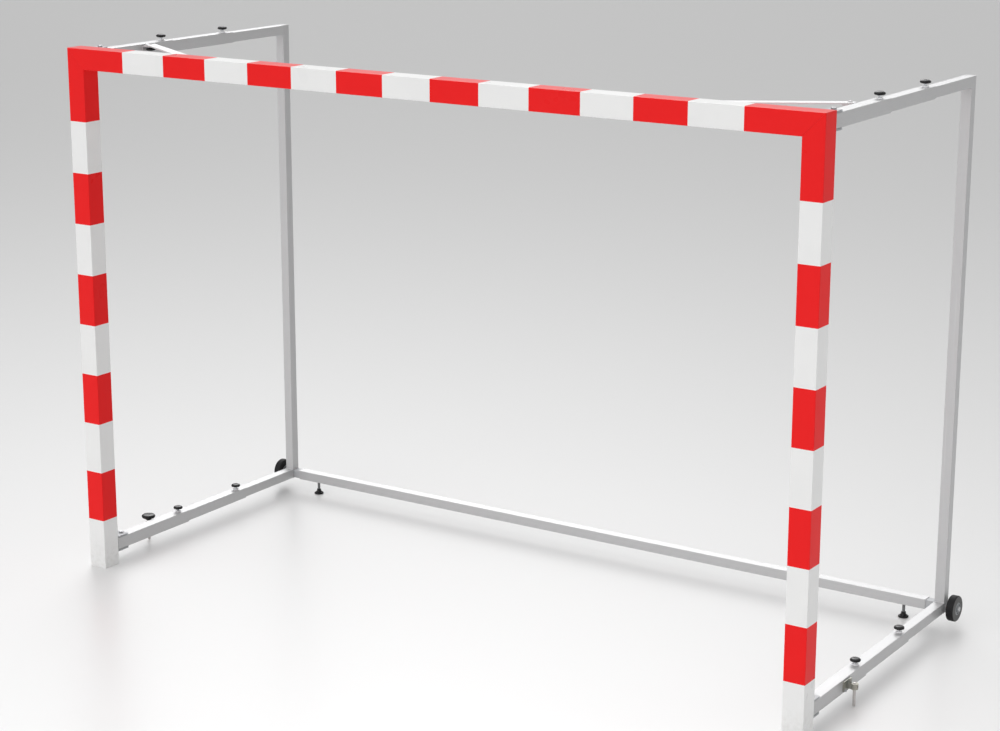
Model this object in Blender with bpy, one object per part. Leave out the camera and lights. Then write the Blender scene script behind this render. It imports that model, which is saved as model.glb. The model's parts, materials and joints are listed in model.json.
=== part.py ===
"""Handball goal, three metres by two, with side rails that telescope.

In the goal's own layout the front of the posts is y = 0, the net side is +Y and the
floor is z = 0. Everything hangs from one empty, which puts the middle of the
footprint over the world origin.
"""

import math

import bmesh
import bpy
from mathutils import Matrix, Vector

# Clearances
MESH_GAP = 0.0003  # between pieces that touch
SLIDE_GAP = 0.0005  # on each side of a tube that slides or plugs into another
HOLE_PLAY = 0.0003  # all round a bolt or a screw in its hole

# Front frame of square tube
GOAL_WIDTH = 3.000  # between the posts
GOAL_HEIGHT = 2.000  # under the crossbar
POST_SECTION = 0.080
POST_WALL = 0.003
POST_CORNER = 0.003  # outer corner radius
CORNER_BAND = 0.280  # red paint at the top corners, from the outer edges
BAND = 0.200  # each further band of paint
CONNECTOR_ARM = 0.180
CONNECTOR_DEPTH = 0.050

# Side rails: each tube slides in the one before it
REAR_SECTION = 0.040
RAIL_WALL = 0.002
RAIL_CORNER = 0.003
LOW_RAIL_HEIGHT = 0.075  # floor to the low rails' axis
FRONT_LENGTH = 0.4345
MIDDLE_SHOWN = 0.376
MIDDLE_HELD = 0.080
REAR_SHOWN = 0.333
REAR_HELD = 0.090

# Hinge brackets behind the posts
BRACKET_BASE = 0.006
BRACKET_LUG = 0.0065
BRACKET_WIDTH = 0.050
LUG_PLAY = 0.0005
LUG_TAIL = 0.017  # from the hinge bolt to the end of the lug
LUG_ROUND = 0.006
HINGE_REACH = 0.060  # from the post to the hinge bolt
RAIL_NOSE = 0.0445  # from the hinge bolt to the front end of the rail
HINGE_BOLT = 0.010
HINGE_FLATS = 0.016
HINGE_HEAD = 0.006
HINGE_NUT = 0.008
HINGE_THREAD_END = 0.004  # bolt end beyond its nut
BRACKET_BOLT = 0.008
BRACKET_BOLT_SPACING = 0.026

# Clamping knobs on the rails
KNOB_INSET = 0.040  # from the end of the tube that it is screwed into
KNOB_SCREW = 0.010
KNOB_DISC = 0.039
KNOB_DISC_HEIGHT = 0.013
KNOB_LIFT = 0.012
BOSS_DIAMETER = 0.022
BOSS_HEIGHT = 0.005

# Corner braces between the crossbar and the top rails
BRACE_WIDTH = 0.040
BRACE_THICKNESS = 0.005
BRACE_PIVOT_X = 1.045  # pivot on the crossbar, from the middle
BRACE_PIVOT_REACH = 0.025  # pivot behind the crossbar
BRACE_KNOB_INSET = 0.025  # knob inside the face of the rail
BRACE_KNOB_Y = 0.372  # knob behind the front of the goal
BRACE_LIFT = -0.001  # top of the brace over the top of the rail
LUG_PLATE = 0.0045
LUG_HEIGHT = 0.040
LUG_WIDTH = 0.044
BRACE_BOLT = 0.008
BRACE_BOLT_FLATS = 0.013
BRACE_BOLT_HEAD = 0.0055
BRACE_NUT = 0.0065
BRACE_THREAD_END = 0.002  # bolt end beyond its nut
BRACE_KNOB_DISC = 0.038
BRACE_KNOB_HEIGHT = 0.012
BRACE_KNOB_HUB = 0.014
BRACE_KNOB_HUB_HEIGHT = 0.004

# Rear frame
CAP_THICKNESS = 0.0025
STUB_SHOWN = 0.035
STUB_HELD = 0.080

# Levelling feet under the ground bar
FOOT_INSET = 0.093  # from the end of the ground bar
FOOT_SCREW = 0.012
FOOT_SCREW_TOP = 0.070
FOOT_PAD = 0.040
FOOT_PAD_TOP = 0.0105
FOOT_PAD_RIM = 0.005
FOOT_CONE_HEIGHT = 0.015
FOOT_NECK = 0.018
FOOT_HEIGHT = 0.022
FOOT_NUT_HEIGHT = 0.010
HEX_FLATS = 0.018  # the feet's nuts and the axles' heads

# Transport wheels beside the rear uprights
WHEEL_DIAMETER = 0.098
WHEEL_WIDTH = 0.031
WHEEL_HEIGHT = 0.076  # floor to axle
WHEEL_OFFSET = 0.0315  # from the face of the upright to the middle of the wheel
TYRE_SHOULDER = 0.006  # rounding from tread to side
HUB_DIAMETER = 0.048
HUB_RIM = 0.004
HUB_RECESS = 0.004
HUB_BOSS = 0.022
AXLE = 0.012
AXLE_HEAD = 0.0065
AXLE_BOSS = 0.022

# Floor anchors beside the low rails
ANCHOR_Y = 0.367
ANCHOR_OFFSET = 0.030  # from the face of the rail to the rod
ANCHOR_PLATE_LENGTH = 0.060
ANCHOR_PLATE_HEIGHT = 0.038
ANCHOR_PLATE = 0.005
ANCHOR_WEB = 0.018
ANCHOR_BUSH = 0.026
ANCHOR_BUSH_HEIGHT = 0.020
ANCHOR_DROP = 0.005  # the left bracket under the low rail's axis
ANCHOR_ROD = 0.011
ANCHOR_ROD_LENGTH = 0.100  # the left rod, which carries the hand wheel
ANCHOR_PLAIN_LENGTH = 0.086  # the right rod
ANCHOR_FLOOR_GAP = 0.002
ANCHOR_KNOB = 0.056
ANCHOR_KNOB_HEIGHT = 0.015
ANCHOR_KNOB_HUB = 0.024
ANCHOR_KNOB_HUB_HEIGHT = 0.009
ANCHOR_KNOB_LIFT = 0.0085  # hub above its bush
ANCHOR_BOLT = 0.006
ANCHOR_BOLT_SPREAD_Y = 0.021
ANCHOR_BOLT_SPREAD_Z = 0.013
STOP_HEIGHT = 0.016
STOP_THICKNESS = 0.005
STOP_WIDTH = 0.012
SET_SCREW = 0.006

# Facets
ROUND_STEPS = 24
WHEEL_STEPS = 48
CORNER_STEPS = 2
LUG_STEPS = 6
SHOULDER_STEPS = 3

# Worked out from the sizes above
MIDDLE_SECTION = REAR_SECTION + 2 * (SLIDE_GAP + RAIL_WALL)
FRONT_SECTION = MIDDLE_SECTION + 2 * (SLIDE_GAP + RAIL_WALL)
RAIL_X = GOAL_WIDTH / 2 + POST_SECTION / 2
TOP_RAIL_HEIGHT = GOAL_HEIGHT + POST_SECTION / 2
HINGE_Y = POST_SECTION + HINGE_REACH
FRONT_START = HINGE_Y - RAIL_NOSE
FRONT_END = FRONT_START + FRONT_LENGTH
MIDDLE_START = FRONT_END - MIDDLE_HELD
MIDDLE_END = FRONT_END + MIDDLE_SHOWN
REAR_START = MIDDLE_END - REAR_HELD
REAR_END = MIDDLE_END + REAR_SHOWN
UPRIGHT_Y = REAR_END + REAR_SECTION / 2
BAR_END = RAIL_X - REAR_SECTION / 2 - STUB_SHOWN
STUB_SECTION = REAR_SECTION - 2 * (RAIL_WALL + SLIDE_GAP)
FOOT_X = BAR_END - FOOT_INSET
WHEEL_X = RAIL_X + REAR_SECTION / 2 + WHEEL_OFFSET
DEPTH = UPRIGHT_Y + WHEEL_DIAMETER / 2
ANCHOR_X = RAIL_X + FRONT_SECTION / 2 + ANCHOR_OFFSET

SIDES = (("left", -1), ("right", 1))
LEVELS = (("top", TOP_RAIL_HEIGHT), ("bottom", LOW_RAIL_HEIGHT))


def clear_scene():
    """Remove whatever the scene holds."""
    for old in list(bpy.data.objects):
        bpy.data.objects.remove(old, do_unlink=True)


def make_material(name, colour, roughness, metallic):
    """One Principled material."""
    material = bpy.data.materials.new(name)
    material.use_nodes = True
    shader = material.node_tree.nodes["Principled BSDF"]
    shader.inputs["Base Color"].default_value = (*colour, 1.0)
    shader.inputs["Roughness"].default_value = roughness
    shader.inputs["Metallic"].default_value = metallic
    material.diffuse_color = (*colour, 1.0)
    return material


class Finish:
    """The materials that the pieces share."""

    def __init__(self):
        self.white = make_material("white_coat", (0.86, 0.86, 0.85), 0.35, 0.0)
        self.red = make_material("red_coat", (0.78, 0.02, 0.03), 0.35, 0.0)
        self.rail = make_material("rail_aluminium", (0.70, 0.70, 0.71), 0.45, 0.9)
        self.zinc = make_material("zinc", (0.52, 0.53, 0.54), 0.40, 0.9)
        self.olive = make_material("yellow_zinc", (0.30, 0.29, 0.22), 0.45, 0.8)
        self.steel = make_material("bright_steel", (0.60, 0.57, 0.55), 0.35, 0.9)
        self.black = make_material("black_plastic", (0.015, 0.015, 0.016), 0.35, 0.0)
        self.tyre = make_material("tyre_rubber", (0.035, 0.035, 0.037), 0.75, 0.0)
        self.grey = make_material("grey_plastic", (0.30, 0.31, 0.32), 0.50, 0.0)


def rounded_rectangle(width, height, radius, steps):
    """Points of a rectangle with round corners, anticlockwise."""
    points = []
    for side_u, side_v, start in ((1, 1, 0), (-1, 1, 90), (-1, -1, 180), (1, -1, 270)):
        for step in range(steps + 1):
            angle = math.radians(start + 90 * step / steps)
            u = side_u * (width / 2 - radius) + radius * math.cos(angle)
            v = side_v * (height / 2 - radius) + radius * math.sin(angle)
            points.append((u, v))
    return points


def loft(bm, rings, closed=False):
    """Skin a run of rings; a closed one returns to its first ring, an open one gets flat ends."""
    loops = [[bm.verts.new(point) for point in ring] for ring in rings]
    following = loops[1:] + loops[:1] if closed else loops[1:]
    bands = []
    for first, second in zip(loops, following):
        count = len(first)
        band = [
            bm.faces.new((first[i], first[(i + 1) % count], second[(i + 1) % count], second[i]))
            for i in range(count)
        ]
        bands.append(band)
    if not closed:
        bm.faces.new(loops[0])
        bm.faces.new(loops[-1])
    return bands


def ring(radius, height, hexagonal=False, steps=ROUND_STEPS):
    """Points of a circle, or of the hexagon round it, at one height."""
    points = []
    for step in range(steps):
        angle = 2 * math.pi * step / steps
        reach = radius
        if hexagonal:
            sixth = math.pi / 3
            reach = radius / math.cos((angle + sixth / 2) % sixth - sixth / 2)
        points.append((reach * math.cos(angle), reach * math.sin(angle), height))
    return points


def make_mesh(name, bm, materials, smooth=False):
    """Close a bmesh into a mesh with its faces outward."""
    bmesh.ops.recalc_face_normals(bm, faces=bm.faces)
    mesh = bpy.data.meshes.new(name)
    bm.to_mesh(mesh)
    bm.free()
    for material in materials:
        mesh.materials.append(material)
    if smooth:
        mesh.shade_smooth()
        mesh.set_sharp_from_angle(angle=math.radians(35))
    return mesh


def turned_mesh(name, profile, material, closed=False, steps=ROUND_STEPS):
    """Mesh turned round local Z; each profile entry is radius, height and True where it is a hexagon."""
    bm = bmesh.new()
    loft(bm, [ring(*entry, steps=steps) for entry in profile], closed)
    return make_mesh(name, bm, (material,), smooth=True)


def outline_mesh(name, outline, thickness, material):
    """Mesh of an outline raised along local +Z."""
    bm = bmesh.new()
    loft(bm, [[(u, v, z) for u, v in outline] for z in (0.0, thickness)])
    return make_mesh(name, bm, (material,))


def add(name, mesh, goal, location=(0.0, 0.0, 0.0), rotation=(0.0, 0.0, 0.0)):
    """Place one sub-part under the goal's empty."""
    piece = bpy.data.objects.new(name, mesh)
    bpy.context.scene.collection.objects.link(piece)
    piece.parent = goal
    piece.location = location
    piece.rotation_euler = rotation
    return piece


def box(bm, low, high):
    """A plain box between two corners."""
    size = Vector(high) - Vector(low)
    middle = (Vector(high) + Vector(low)) / 2
    matrix = Matrix.Translation(middle) @ Matrix.Diagonal((*size, 1.0))
    bmesh.ops.create_cube(bm, size=1.0, matrix=matrix)


def cylinder(bm, centre, radius, length, axis="Z"):
    """A plain cylinder, centred on a point."""
    turn = {"X": Matrix.Rotation(math.pi / 2, 4, "Y"), "Y": Matrix.Rotation(-math.pi / 2, 4, "X")}
    matrix = Matrix.Translation(centre) @ turn.get(axis, Matrix.Identity(4))
    bmesh.ops.create_cone(
        bm,
        cap_ends=True,
        segments=ROUND_STEPS,
        radius1=radius,
        radius2=radius,
        depth=length,
        matrix=matrix,
    )


def combine(piece, name, bm, goal, operation="DIFFERENCE"):
    """Cut a shape from a piece, or weld it on; the shape stays as a hidden wire."""
    operand = add(name, make_mesh(name, bm, ()), goal)
    operand.hide_render = True
    operand.display_type = "WIRE"
    modifier = piece.modifiers.new(name, "BOOLEAN")
    modifier.operation = operation
    modifier.solver = "EXACT"
    modifier.object = operand


def square_tube(bm, section, wall, corner, stations, slant):
    """A square tube along local +Z whose ends slant; returns its outer faces between the stations."""
    outer = rounded_rectangle(section, section, corner, CORNER_STEPS)
    bore = section - 2 * wall
    inner = rounded_rectangle(bore, bore, max(corner - wall, wall / 2), CORNER_STEPS)
    low, high = stations[0], stations[-1]
    rings = [[(u, v, low + slant(u, "low")) for u, v in inner]]
    for station in stations:
        end = {low: "low", high: "high"}.get(station, "")
        rings.append([(u, v, station + slant(u, end)) for u, v in outer])
    rings.append([(u, v, high + slant(u, "high")) for u, v in inner])
    bands = loft(bm, rings, closed=True)
    return bands[1 : len(stations)]


def plain_tube(name, section, length, material):
    """Mesh of a square tube with square ends, from 0 to its length along local +Z."""
    bm = bmesh.new()
    square_tube(bm, section, RAIL_WALL, RAIL_CORNER, (0.0, length), lambda u, end: 0.0)
    return make_mesh(name, bm, (material,))


def even_bands(low, high):
    """Edges of the bands of paint that fill a stretch evenly."""
    count = max(1, round((high - low) / BAND))
    return [low + (high - low) * step / count for step in range(count + 1)]


def brace_top():
    """Height of the top face of the braces."""
    return TOP_RAIL_HEIGHT + FRONT_SECTION / 2 + BRACE_LIFT


def brace_lug_top():
    """Height of the top face of the lugs that the braces lie on."""
    return brace_top() - BRACE_THICKNESS - MESH_GAP


def brace_ends(sign):
    """Pivot and knob of the brace on one side, as x and y."""
    knob_x = RAIL_X - FRONT_SECTION / 2 - BRACE_KNOB_INSET
    pivot_y = POST_SECTION + BRACE_PIVOT_REACH
    return (sign * BRACE_PIVOT_X, pivot_y), (sign * knob_x, BRACE_KNOB_Y)


def build_posts(goal, finish):
    """Two posts in red and white bands, slanted at the top, with holes for the bracket bolts."""
    half = POST_SECTION / 2
    mitre_gap = MESH_GAP / math.sqrt(2)
    top = GOAL_HEIGHT + POST_SECTION

    def slant(u, end):
        return u - half - mitre_gap if end == "high" else 0.0

    bm = bmesh.new()
    stations = even_bands(0.0, top - CORNER_BAND) + [top]
    bands = square_tube(bm, POST_SECTION, POST_WALL, POST_CORNER, stations, slant)
    for index, band in enumerate(reversed(bands)):
        for face in band:
            face.material_index = 1 - index % 2
    mesh = make_mesh("post", bm, (finish.white, finish.red))
    for side, sign in SIDES:
        turn = 0.0 if sign > 0 else math.pi
        post = add(f"post_{side}", mesh, goal, (sign * RAIL_X, half, 0.0), (0.0, 0.0, turn))
        bm = bmesh.new()
        for _, height in LEVELS:
            for step in (-1, 1):
                x = sign * RAIL_X + step * BRACKET_BOLT_SPACING / 2
                centre = (x, POST_SECTION - POST_WALL / 2, height)
                cylinder(bm, centre, BRACKET_BOLT / 2 + HOLE_PLAY, 3 * POST_WALL, "Y")
        combine(post, f"post_holes_{side}", bm, goal)


def build_crossbar(goal, finish):
    """The crossbar in red and white bands, slanted at both ends, with holes for the lug screws."""
    half = POST_SECTION / 2
    mitre_gap = MESH_GAP / math.sqrt(2)

    def slant(u, end):
        reach = half - u - mitre_gap
        return {"low": -reach, "high": reach}.get(end, 0.0)

    inner_end = GOAL_WIDTH / 2
    red_edge = inner_end + POST_SECTION - CORNER_BAND
    stations = [-inner_end] + even_bands(-red_edge, red_edge) + [inner_end]
    bm = bmesh.new()
    bands = square_tube(bm, POST_SECTION, POST_WALL, POST_CORNER, stations, slant)
    for index, band in enumerate(bands):
        for face in band:
            face.material_index = 1 - index % 2
    mesh = make_mesh("crossbar", bm, (finish.white, finish.red))
    place = (0.0, half, TOP_RAIL_HEIGHT)
    crossbar = add("crossbar", mesh, goal, place, (0.0, math.pi / 2, 0.0))
    bm = bmesh.new()
    for _, sign in SIDES:
        place = (sign * BRACE_PIVOT_X, POST_SECTION, brace_lug_top() - LUG_HEIGHT / 2)
        cylinder(bm, place, BRACE_BOLT / 2 + HOLE_PLAY, 4 * POST_WALL, "Y")
    combine(crossbar, "crossbar_holes", bm, goal)


def build_connectors(goal, finish):
    """An angle inside each top corner, one arm in the post and one in the crossbar."""
    reach = POST_SECTION / 2 - POST_WALL - MESH_GAP
    arm = CONNECTOR_ARM - reach
    outline = ((reach, reach), (-arm, reach), (-arm, -reach), (-reach, -reach), (-reach, -arm), (reach, -arm))
    bm = bmesh.new()
    depth = (-CONNECTOR_DEPTH / 2, CONNECTOR_DEPTH / 2)
    loft(bm, [[(x, y, z) for x, z in outline] for y in depth])
    mesh = make_mesh("corner_connector", bm, (finish.grey,))
    for side, sign in SIDES:
        place = (sign * RAIL_X, POST_SECTION / 2, TOP_RAIL_HEIGHT)
        turn = 0.0 if sign > 0 else math.pi
        add(f"corner_connector_{side}", mesh, goal, place, (0.0, 0.0, turn))


def build_hinges(goal, finish):
    """A forked bracket behind each post at each rail, and the bolt with its nut that the rail turns on."""
    inside = FRONT_SECTION / 2 + LUG_PLAY
    outside = inside + BRACKET_LUG
    tail = HINGE_REACH + LUG_TAIL
    base = MESH_GAP + BRACKET_BASE
    upper = ((base, inside), (tail, inside), (tail, outside), (MESH_GAP, outside))
    lower = ((MESH_GAP, -outside), (tail, -outside), (tail, -inside), (base, -inside))
    outline = lower + upper
    bm = bmesh.new()
    half = BRACKET_WIDTH / 2
    loft(bm, [[(x, y, z) for y, z in outline] for x in (-half, half)])
    upright_edges = [
        edge
        for edge in bm.edges
        if min(vert.co.y for vert in edge.verts) > tail - MESH_GAP
        and abs(edge.verts[0].co.x - edge.verts[1].co.x) < MESH_GAP
    ]
    bmesh.ops.bevel(
        bm, geom=upright_edges, offset=LUG_ROUND, segments=LUG_STEPS, profile=0.5, affect="EDGES"
    )
    bracket_mesh = make_mesh("hinge_bracket", bm, (finish.zinc,))
    nut_top = -outside - MESH_GAP
    nut_low = nut_top - HINGE_NUT
    seat = outside + MESH_GAP
    profile = (
        (HINGE_BOLT / 2, nut_low - HINGE_THREAD_END),
        (HINGE_BOLT / 2, nut_low),
        (HINGE_FLATS / 2, nut_low, True),
        (HINGE_FLATS / 2, nut_top, True),
        (HINGE_BOLT / 2, nut_top),
        (HINGE_BOLT / 2, seat),
        (HINGE_FLATS / 2, seat, True),
        (HINGE_FLATS / 2, seat + HINGE_HEAD, True),
    )
    bolt_mesh = turned_mesh("hinge_bolt", profile, finish.zinc)
    for side, sign in SIDES:
        x = sign * RAIL_X
        for level, height in LEVELS:
            name = f"{level}_{side}"
            place = (x, POST_SECTION, height)
            bracket = add(f"hinge_bracket_{name}", bracket_mesh, goal, place)
            add(f"hinge_bolt_{name}", bolt_mesh, goal, (x, HINGE_Y, height))
            bm = bmesh.new()
            cylinder(bm, (x, HINGE_Y, height), HINGE_BOLT / 2 + HOLE_PLAY, 4 * outside)
            for step in (-1, 1):
                centre = (x + step * BRACKET_BOLT_SPACING / 2, POST_SECTION + base / 2, height)
                cylinder(bm, centre, BRACKET_BOLT / 2 + HOLE_PLAY, 3 * BRACKET_BASE, "Y")
            combine(bracket, f"hinge_holes_{name}", bm, goal)


def weld_boss(tube, name, place, goal):
    """Weld a threaded boss to the top of a tube and drill both for the knob's screw."""
    x, y, face = place
    sink = RAIL_WALL / 2
    bm = bmesh.new()
    cylinder(bm, (x, y, face + (BOSS_HEIGHT - sink) / 2), BOSS_DIAMETER / 2, BOSS_HEIGHT + sink)
    combine(tube, f"boss_{name}", bm, goal, "UNION")
    low = face - 2 * RAIL_WALL
    high = face + 2 * BOSS_HEIGHT
    bm = bmesh.new()
    cylinder(bm, (x, y, (low + high) / 2), KNOB_SCREW / 2 + HOLE_PLAY, high - low)
    combine(tube, f"boss_hole_{name}", bm, goal)


def knob_mesh(finish):
    """Clamping knob and its screw; local z = 0 is the face of the tube that it is screwed into."""
    tip = MESH_GAP - RAIL_WALL - SLIDE_GAP
    disc = KNOB_DISC / 2
    height = KNOB_DISC_HEIGHT
    profile = (
        (KNOB_SCREW / 2, tip),
        (KNOB_SCREW / 2, KNOB_LIFT),
        (disc * 0.62, KNOB_LIFT),
        (disc * 0.93, KNOB_LIFT + height * 0.18),
        (disc, KNOB_LIFT + height * 0.42),
        (disc * 0.93, KNOB_LIFT + height * 0.68),
        (disc * 0.70, KNOB_LIFT + height * 0.90),
        (disc * 0.35, KNOB_LIFT + height),
    )
    return turned_mesh("clamp_knob", profile, finish.black)


def weld_brace_lug(tube, side, sign, goal):
    """Weld the brace's angle lug to the inner face of a top rail and drill it for the knob's screw."""
    x, y = brace_ends(sign)[1]
    top = brace_lug_top()
    face = sign * (RAIL_X - FRONT_SECTION / 2)
    root = face + sign * RAIL_WALL / 2
    back = face - sign * LUG_PLATE
    tip = x - sign * BRACE_WIDTH / 2
    outline = (
        (root, top),
        (tip, top),
        (tip, top - LUG_PLATE),
        (back, top - LUG_PLATE),
        (back, top - LUG_HEIGHT),
        (root, top - LUG_HEIGHT),
    )
    half = LUG_WIDTH / 2
    bm = bmesh.new()
    loft(bm, [[(u, y + step * half, z) for u, z in outline] for step in (-1, 1)])
    combine(tube, f"rail_lug_{side}", bm, goal, "UNION")
    bm = bmesh.new()
    cylinder(bm, (x, y, top - LUG_PLATE / 2), BRACE_BOLT / 2 + HOLE_PLAY, 3 * LUG_PLATE)
    combine(tube, f"rail_lug_hole_{side}", bm, goal)


def build_rails(goal, finish):
    """Four side rails, each of three tubes, with a clamping knob at the end of the outer two."""
    front_mesh = plain_tube("rail_front", FRONT_SECTION, FRONT_LENGTH, finish.rail)
    middle_mesh = plain_tube("rail_middle", MIDDLE_SECTION, MIDDLE_END - MIDDLE_START, finish.rail)
    rear_length = REAR_END - MESH_GAP - REAR_START
    rear_mesh = plain_tube("rail_rear", REAR_SECTION, rear_length, finish.rail)
    knob = knob_mesh(finish)
    along = (-math.pi / 2, 0.0, 0.0)
    for side, sign in SIDES:
        x = sign * RAIL_X
        for level, height in LEVELS:
            name = f"{level}_{side}"
            front = add(f"rail_front_{name}", front_mesh, goal, (x, FRONT_START, height), along)
            bm = bmesh.new()
            cylinder(bm, (x, HINGE_Y, height), HINGE_BOLT / 2 + HOLE_PLAY, 2 * FRONT_SECTION)
            combine(front, f"rail_hinge_hole_{name}", bm, goal)
            place = (x, FRONT_END - KNOB_INSET, height + FRONT_SECTION / 2)
            weld_boss(front, f"front_{name}", place, goal)
            add(f"clamp_knob_front_{name}", knob, goal, place)
            if level == "top":
                weld_brace_lug(front, side, sign, goal)

            middle = add(f"rail_middle_{name}", middle_mesh, goal, (x, MIDDLE_START, height), along)
            place = (x, MIDDLE_END - KNOB_INSET, height + MIDDLE_SECTION / 2)
            weld_boss(middle, f"middle_{name}", place, goal)
            add(f"clamp_knob_middle_{name}", knob, goal, place)

            add(f"rail_rear_{name}", rear_mesh, goal, (x, REAR_START, height), along)


def brace_outline(length):
    """Outline of a flat bar with round ends, from its first hole at the origin along +u."""
    outline = []
    steps = ROUND_STEPS // 2
    for centre, start in ((length, -90), (0.0, 90)):
        for step in range(steps + 1):
            angle = math.radians(start + 180 * step / steps)
            u = centre + BRACE_WIDTH / 2 * math.cos(angle)
            outline.append((u, BRACE_WIDTH / 2 * math.sin(angle)))
    return outline


def build_braces(goal, finish):
    """A flat brace over each rear corner: lug and bolt at the crossbar, welded nut and knob at the rail."""
    low = brace_top() - BRACE_THICKNESS
    hole = BRACE_BOLT / 2 + HOLE_PLAY
    lug_top = brace_lug_top()
    start, end = brace_ends(1)
    run = Vector(end) - Vector(start)
    heading = math.atan2(run.y, run.x)
    mesh = outline_mesh("brace", brace_outline(run.length), BRACE_THICKNESS, finish.rail)

    rear = MESH_GAP - BRACE_PIVOT_REACH
    outline = (
        (rear, lug_top),
        (BRACE_WIDTH / 2, lug_top),
        (BRACE_WIDTH / 2, lug_top - LUG_PLATE),
        (rear + LUG_PLATE, lug_top - LUG_PLATE),
        (rear + LUG_PLATE, lug_top - LUG_HEIGHT),
        (rear, lug_top - LUG_HEIGHT),
    )
    bm = bmesh.new()
    loft(bm, [[(step * LUG_WIDTH / 2, y, z) for y, z in outline] for step in (-1, 1)])
    lug_mesh = make_mesh("brace_lug", bm, (finish.rail,))

    seat = brace_top() + MESH_GAP
    nut_top = lug_top - LUG_PLATE - MESH_GAP
    nut_low = nut_top - BRACE_NUT
    profile = (
        (BRACE_BOLT / 2, nut_low - BRACE_THREAD_END),
        (BRACE_BOLT / 2, nut_low),
        (BRACE_BOLT_FLATS / 2, nut_low, True),
        (BRACE_BOLT_FLATS / 2, nut_top, True),
        (BRACE_BOLT / 2, nut_top),
        (BRACE_BOLT / 2, seat),
        (BRACE_BOLT_FLATS / 2, seat, True),
        (BRACE_BOLT_FLATS / 2, seat + BRACE_BOLT_HEAD, True),
    )
    bolt_mesh = turned_mesh("brace_bolt", profile, finish.zinc)

    hub_top = nut_top
    disc_top = hub_top - BRACE_KNOB_HUB_HEIGHT
    disc_low = disc_top - BRACE_KNOB_HEIGHT
    disc = BRACE_KNOB_DISC / 2
    profile = (
        (disc * 0.35, disc_low),
        (disc * 0.75, disc_low + BRACE_KNOB_HEIGHT * 0.10),
        (disc * 0.95, disc_low + BRACE_KNOB_HEIGHT * 0.30),
        (disc, disc_low + BRACE_KNOB_HEIGHT * 0.55),
        (disc * 0.93, disc_low + BRACE_KNOB_HEIGHT * 0.82),
        (BRACE_KNOB_HUB / 2, disc_top),
        (BRACE_KNOB_HUB / 2, hub_top),
        (BRACE_BOLT / 2, hub_top),
        (BRACE_BOLT / 2, brace_top() + BRACE_BOLT_HEAD),
    )
    brace_knob = turned_mesh("brace_knob", profile, finish.black)

    for side, sign in SIDES:
        pivot, knob = brace_ends(sign)
        turn = heading if sign > 0 else math.pi - heading
        brace = add(f"brace_{side}", mesh, goal, (*pivot, low), (0.0, 0.0, turn))
        bm = bmesh.new()
        levels = (brace_top() - BRACE_THICKNESS / 2, brace_top() + BRACE_BOLT_HEAD)
        rings = [ring(BRACE_BOLT_FLATS / 2, z, True) for z in levels]
        loft(bm, [[(knob[0] + x, knob[1] + y, z) for x, y, z in points] for points in rings])
        combine(brace, f"brace_nut_{side}", bm, goal, "UNION")
        bm = bmesh.new()
        for x, y in (pivot, knob):
            cylinder(bm, (x, y, brace_top()), hole, 4 * BRACE_THICKNESS)
        combine(brace, f"brace_holes_{side}", bm, goal)

        lug = add(f"brace_lug_{side}", lug_mesh, goal, (*pivot, 0.0))
        bm = bmesh.new()
        cylinder(bm, (*pivot, lug_top), hole, 4 * LUG_PLATE)
        place = (pivot[0], POST_SECTION, lug_top - LUG_HEIGHT / 2)
        cylinder(bm, place, hole, 4 * LUG_PLATE, "Y")
        combine(lug, f"lug_holes_{side}", bm, goal)
        add(f"brace_bolt_{side}", bolt_mesh, goal, (*pivot, 0.0))
        add(f"brace_knob_{side}", brace_knob, goal, (*knob, 0.0))


def build_uprights(goal, finish):
    """Two uprights with closed ends, each with a boss for its wheel's axle and a stub for the ground bar."""
    low = LOW_RAIL_HEIGHT - REAR_SECTION / 2
    high = TOP_RAIL_HEIGHT + REAR_SECTION / 2
    outline = rounded_rectangle(REAR_SECTION, REAR_SECTION, RAIL_CORNER, CORNER_STEPS)
    mesh = outline_mesh("rear_upright", outline, high - low, finish.rail)
    stub_mesh = plain_tube("ground_bar_stub", STUB_SECTION, STUB_SHOWN + STUB_HELD - MESH_GAP, finish.zinc)
    bore = REAR_SECTION / 2 - RAIL_WALL
    face = RAIL_X + REAR_SECTION / 2
    boss_end = WHEEL_X - WHEEL_WIDTH / 2 - MESH_GAP
    for side, sign in SIDES:
        x = sign * RAIL_X
        upright = add(f"rear_upright_{side}", mesh, goal, (x, UPRIGHT_Y, low))
        bm = bmesh.new()
        corner = (x - bore, UPRIGHT_Y - bore, low + CAP_THICKNESS)
        box(bm, corner, (x + bore, UPRIGHT_Y + bore, high - CAP_THICKNESS))
        combine(upright, f"upright_bore_{side}", bm, goal)
        boss = (face - RAIL_WALL / 2, boss_end)
        centre = (sign * sum(boss) / 2, UPRIGHT_Y, WHEEL_HEIGHT)
        bm = bmesh.new()
        cylinder(bm, centre, AXLE_BOSS / 2, boss[1] - boss[0], "X")
        combine(upright, f"axle_boss_{side}", bm, goal, "UNION")
        bm = bmesh.new()
        hole_start = face - 2 * RAIL_WALL
        centre = (sign * (hole_start + WHEEL_X) / 2, UPRIGHT_Y, WHEEL_HEIGHT)
        cylinder(bm, centre, AXLE / 2 + HOLE_PLAY, WHEEL_X - hole_start, "X")
        combine(upright, f"axle_hole_{side}", bm, goal)
        start = sign * (RAIL_X - REAR_SECTION / 2 - MESH_GAP)
        inward = (0.0, -sign * math.pi / 2, 0.0)
        place = (start, UPRIGHT_Y, LOW_RAIL_HEIGHT)
        add(f"ground_bar_stub_{side}", stub_mesh, goal, place, inward)


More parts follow.
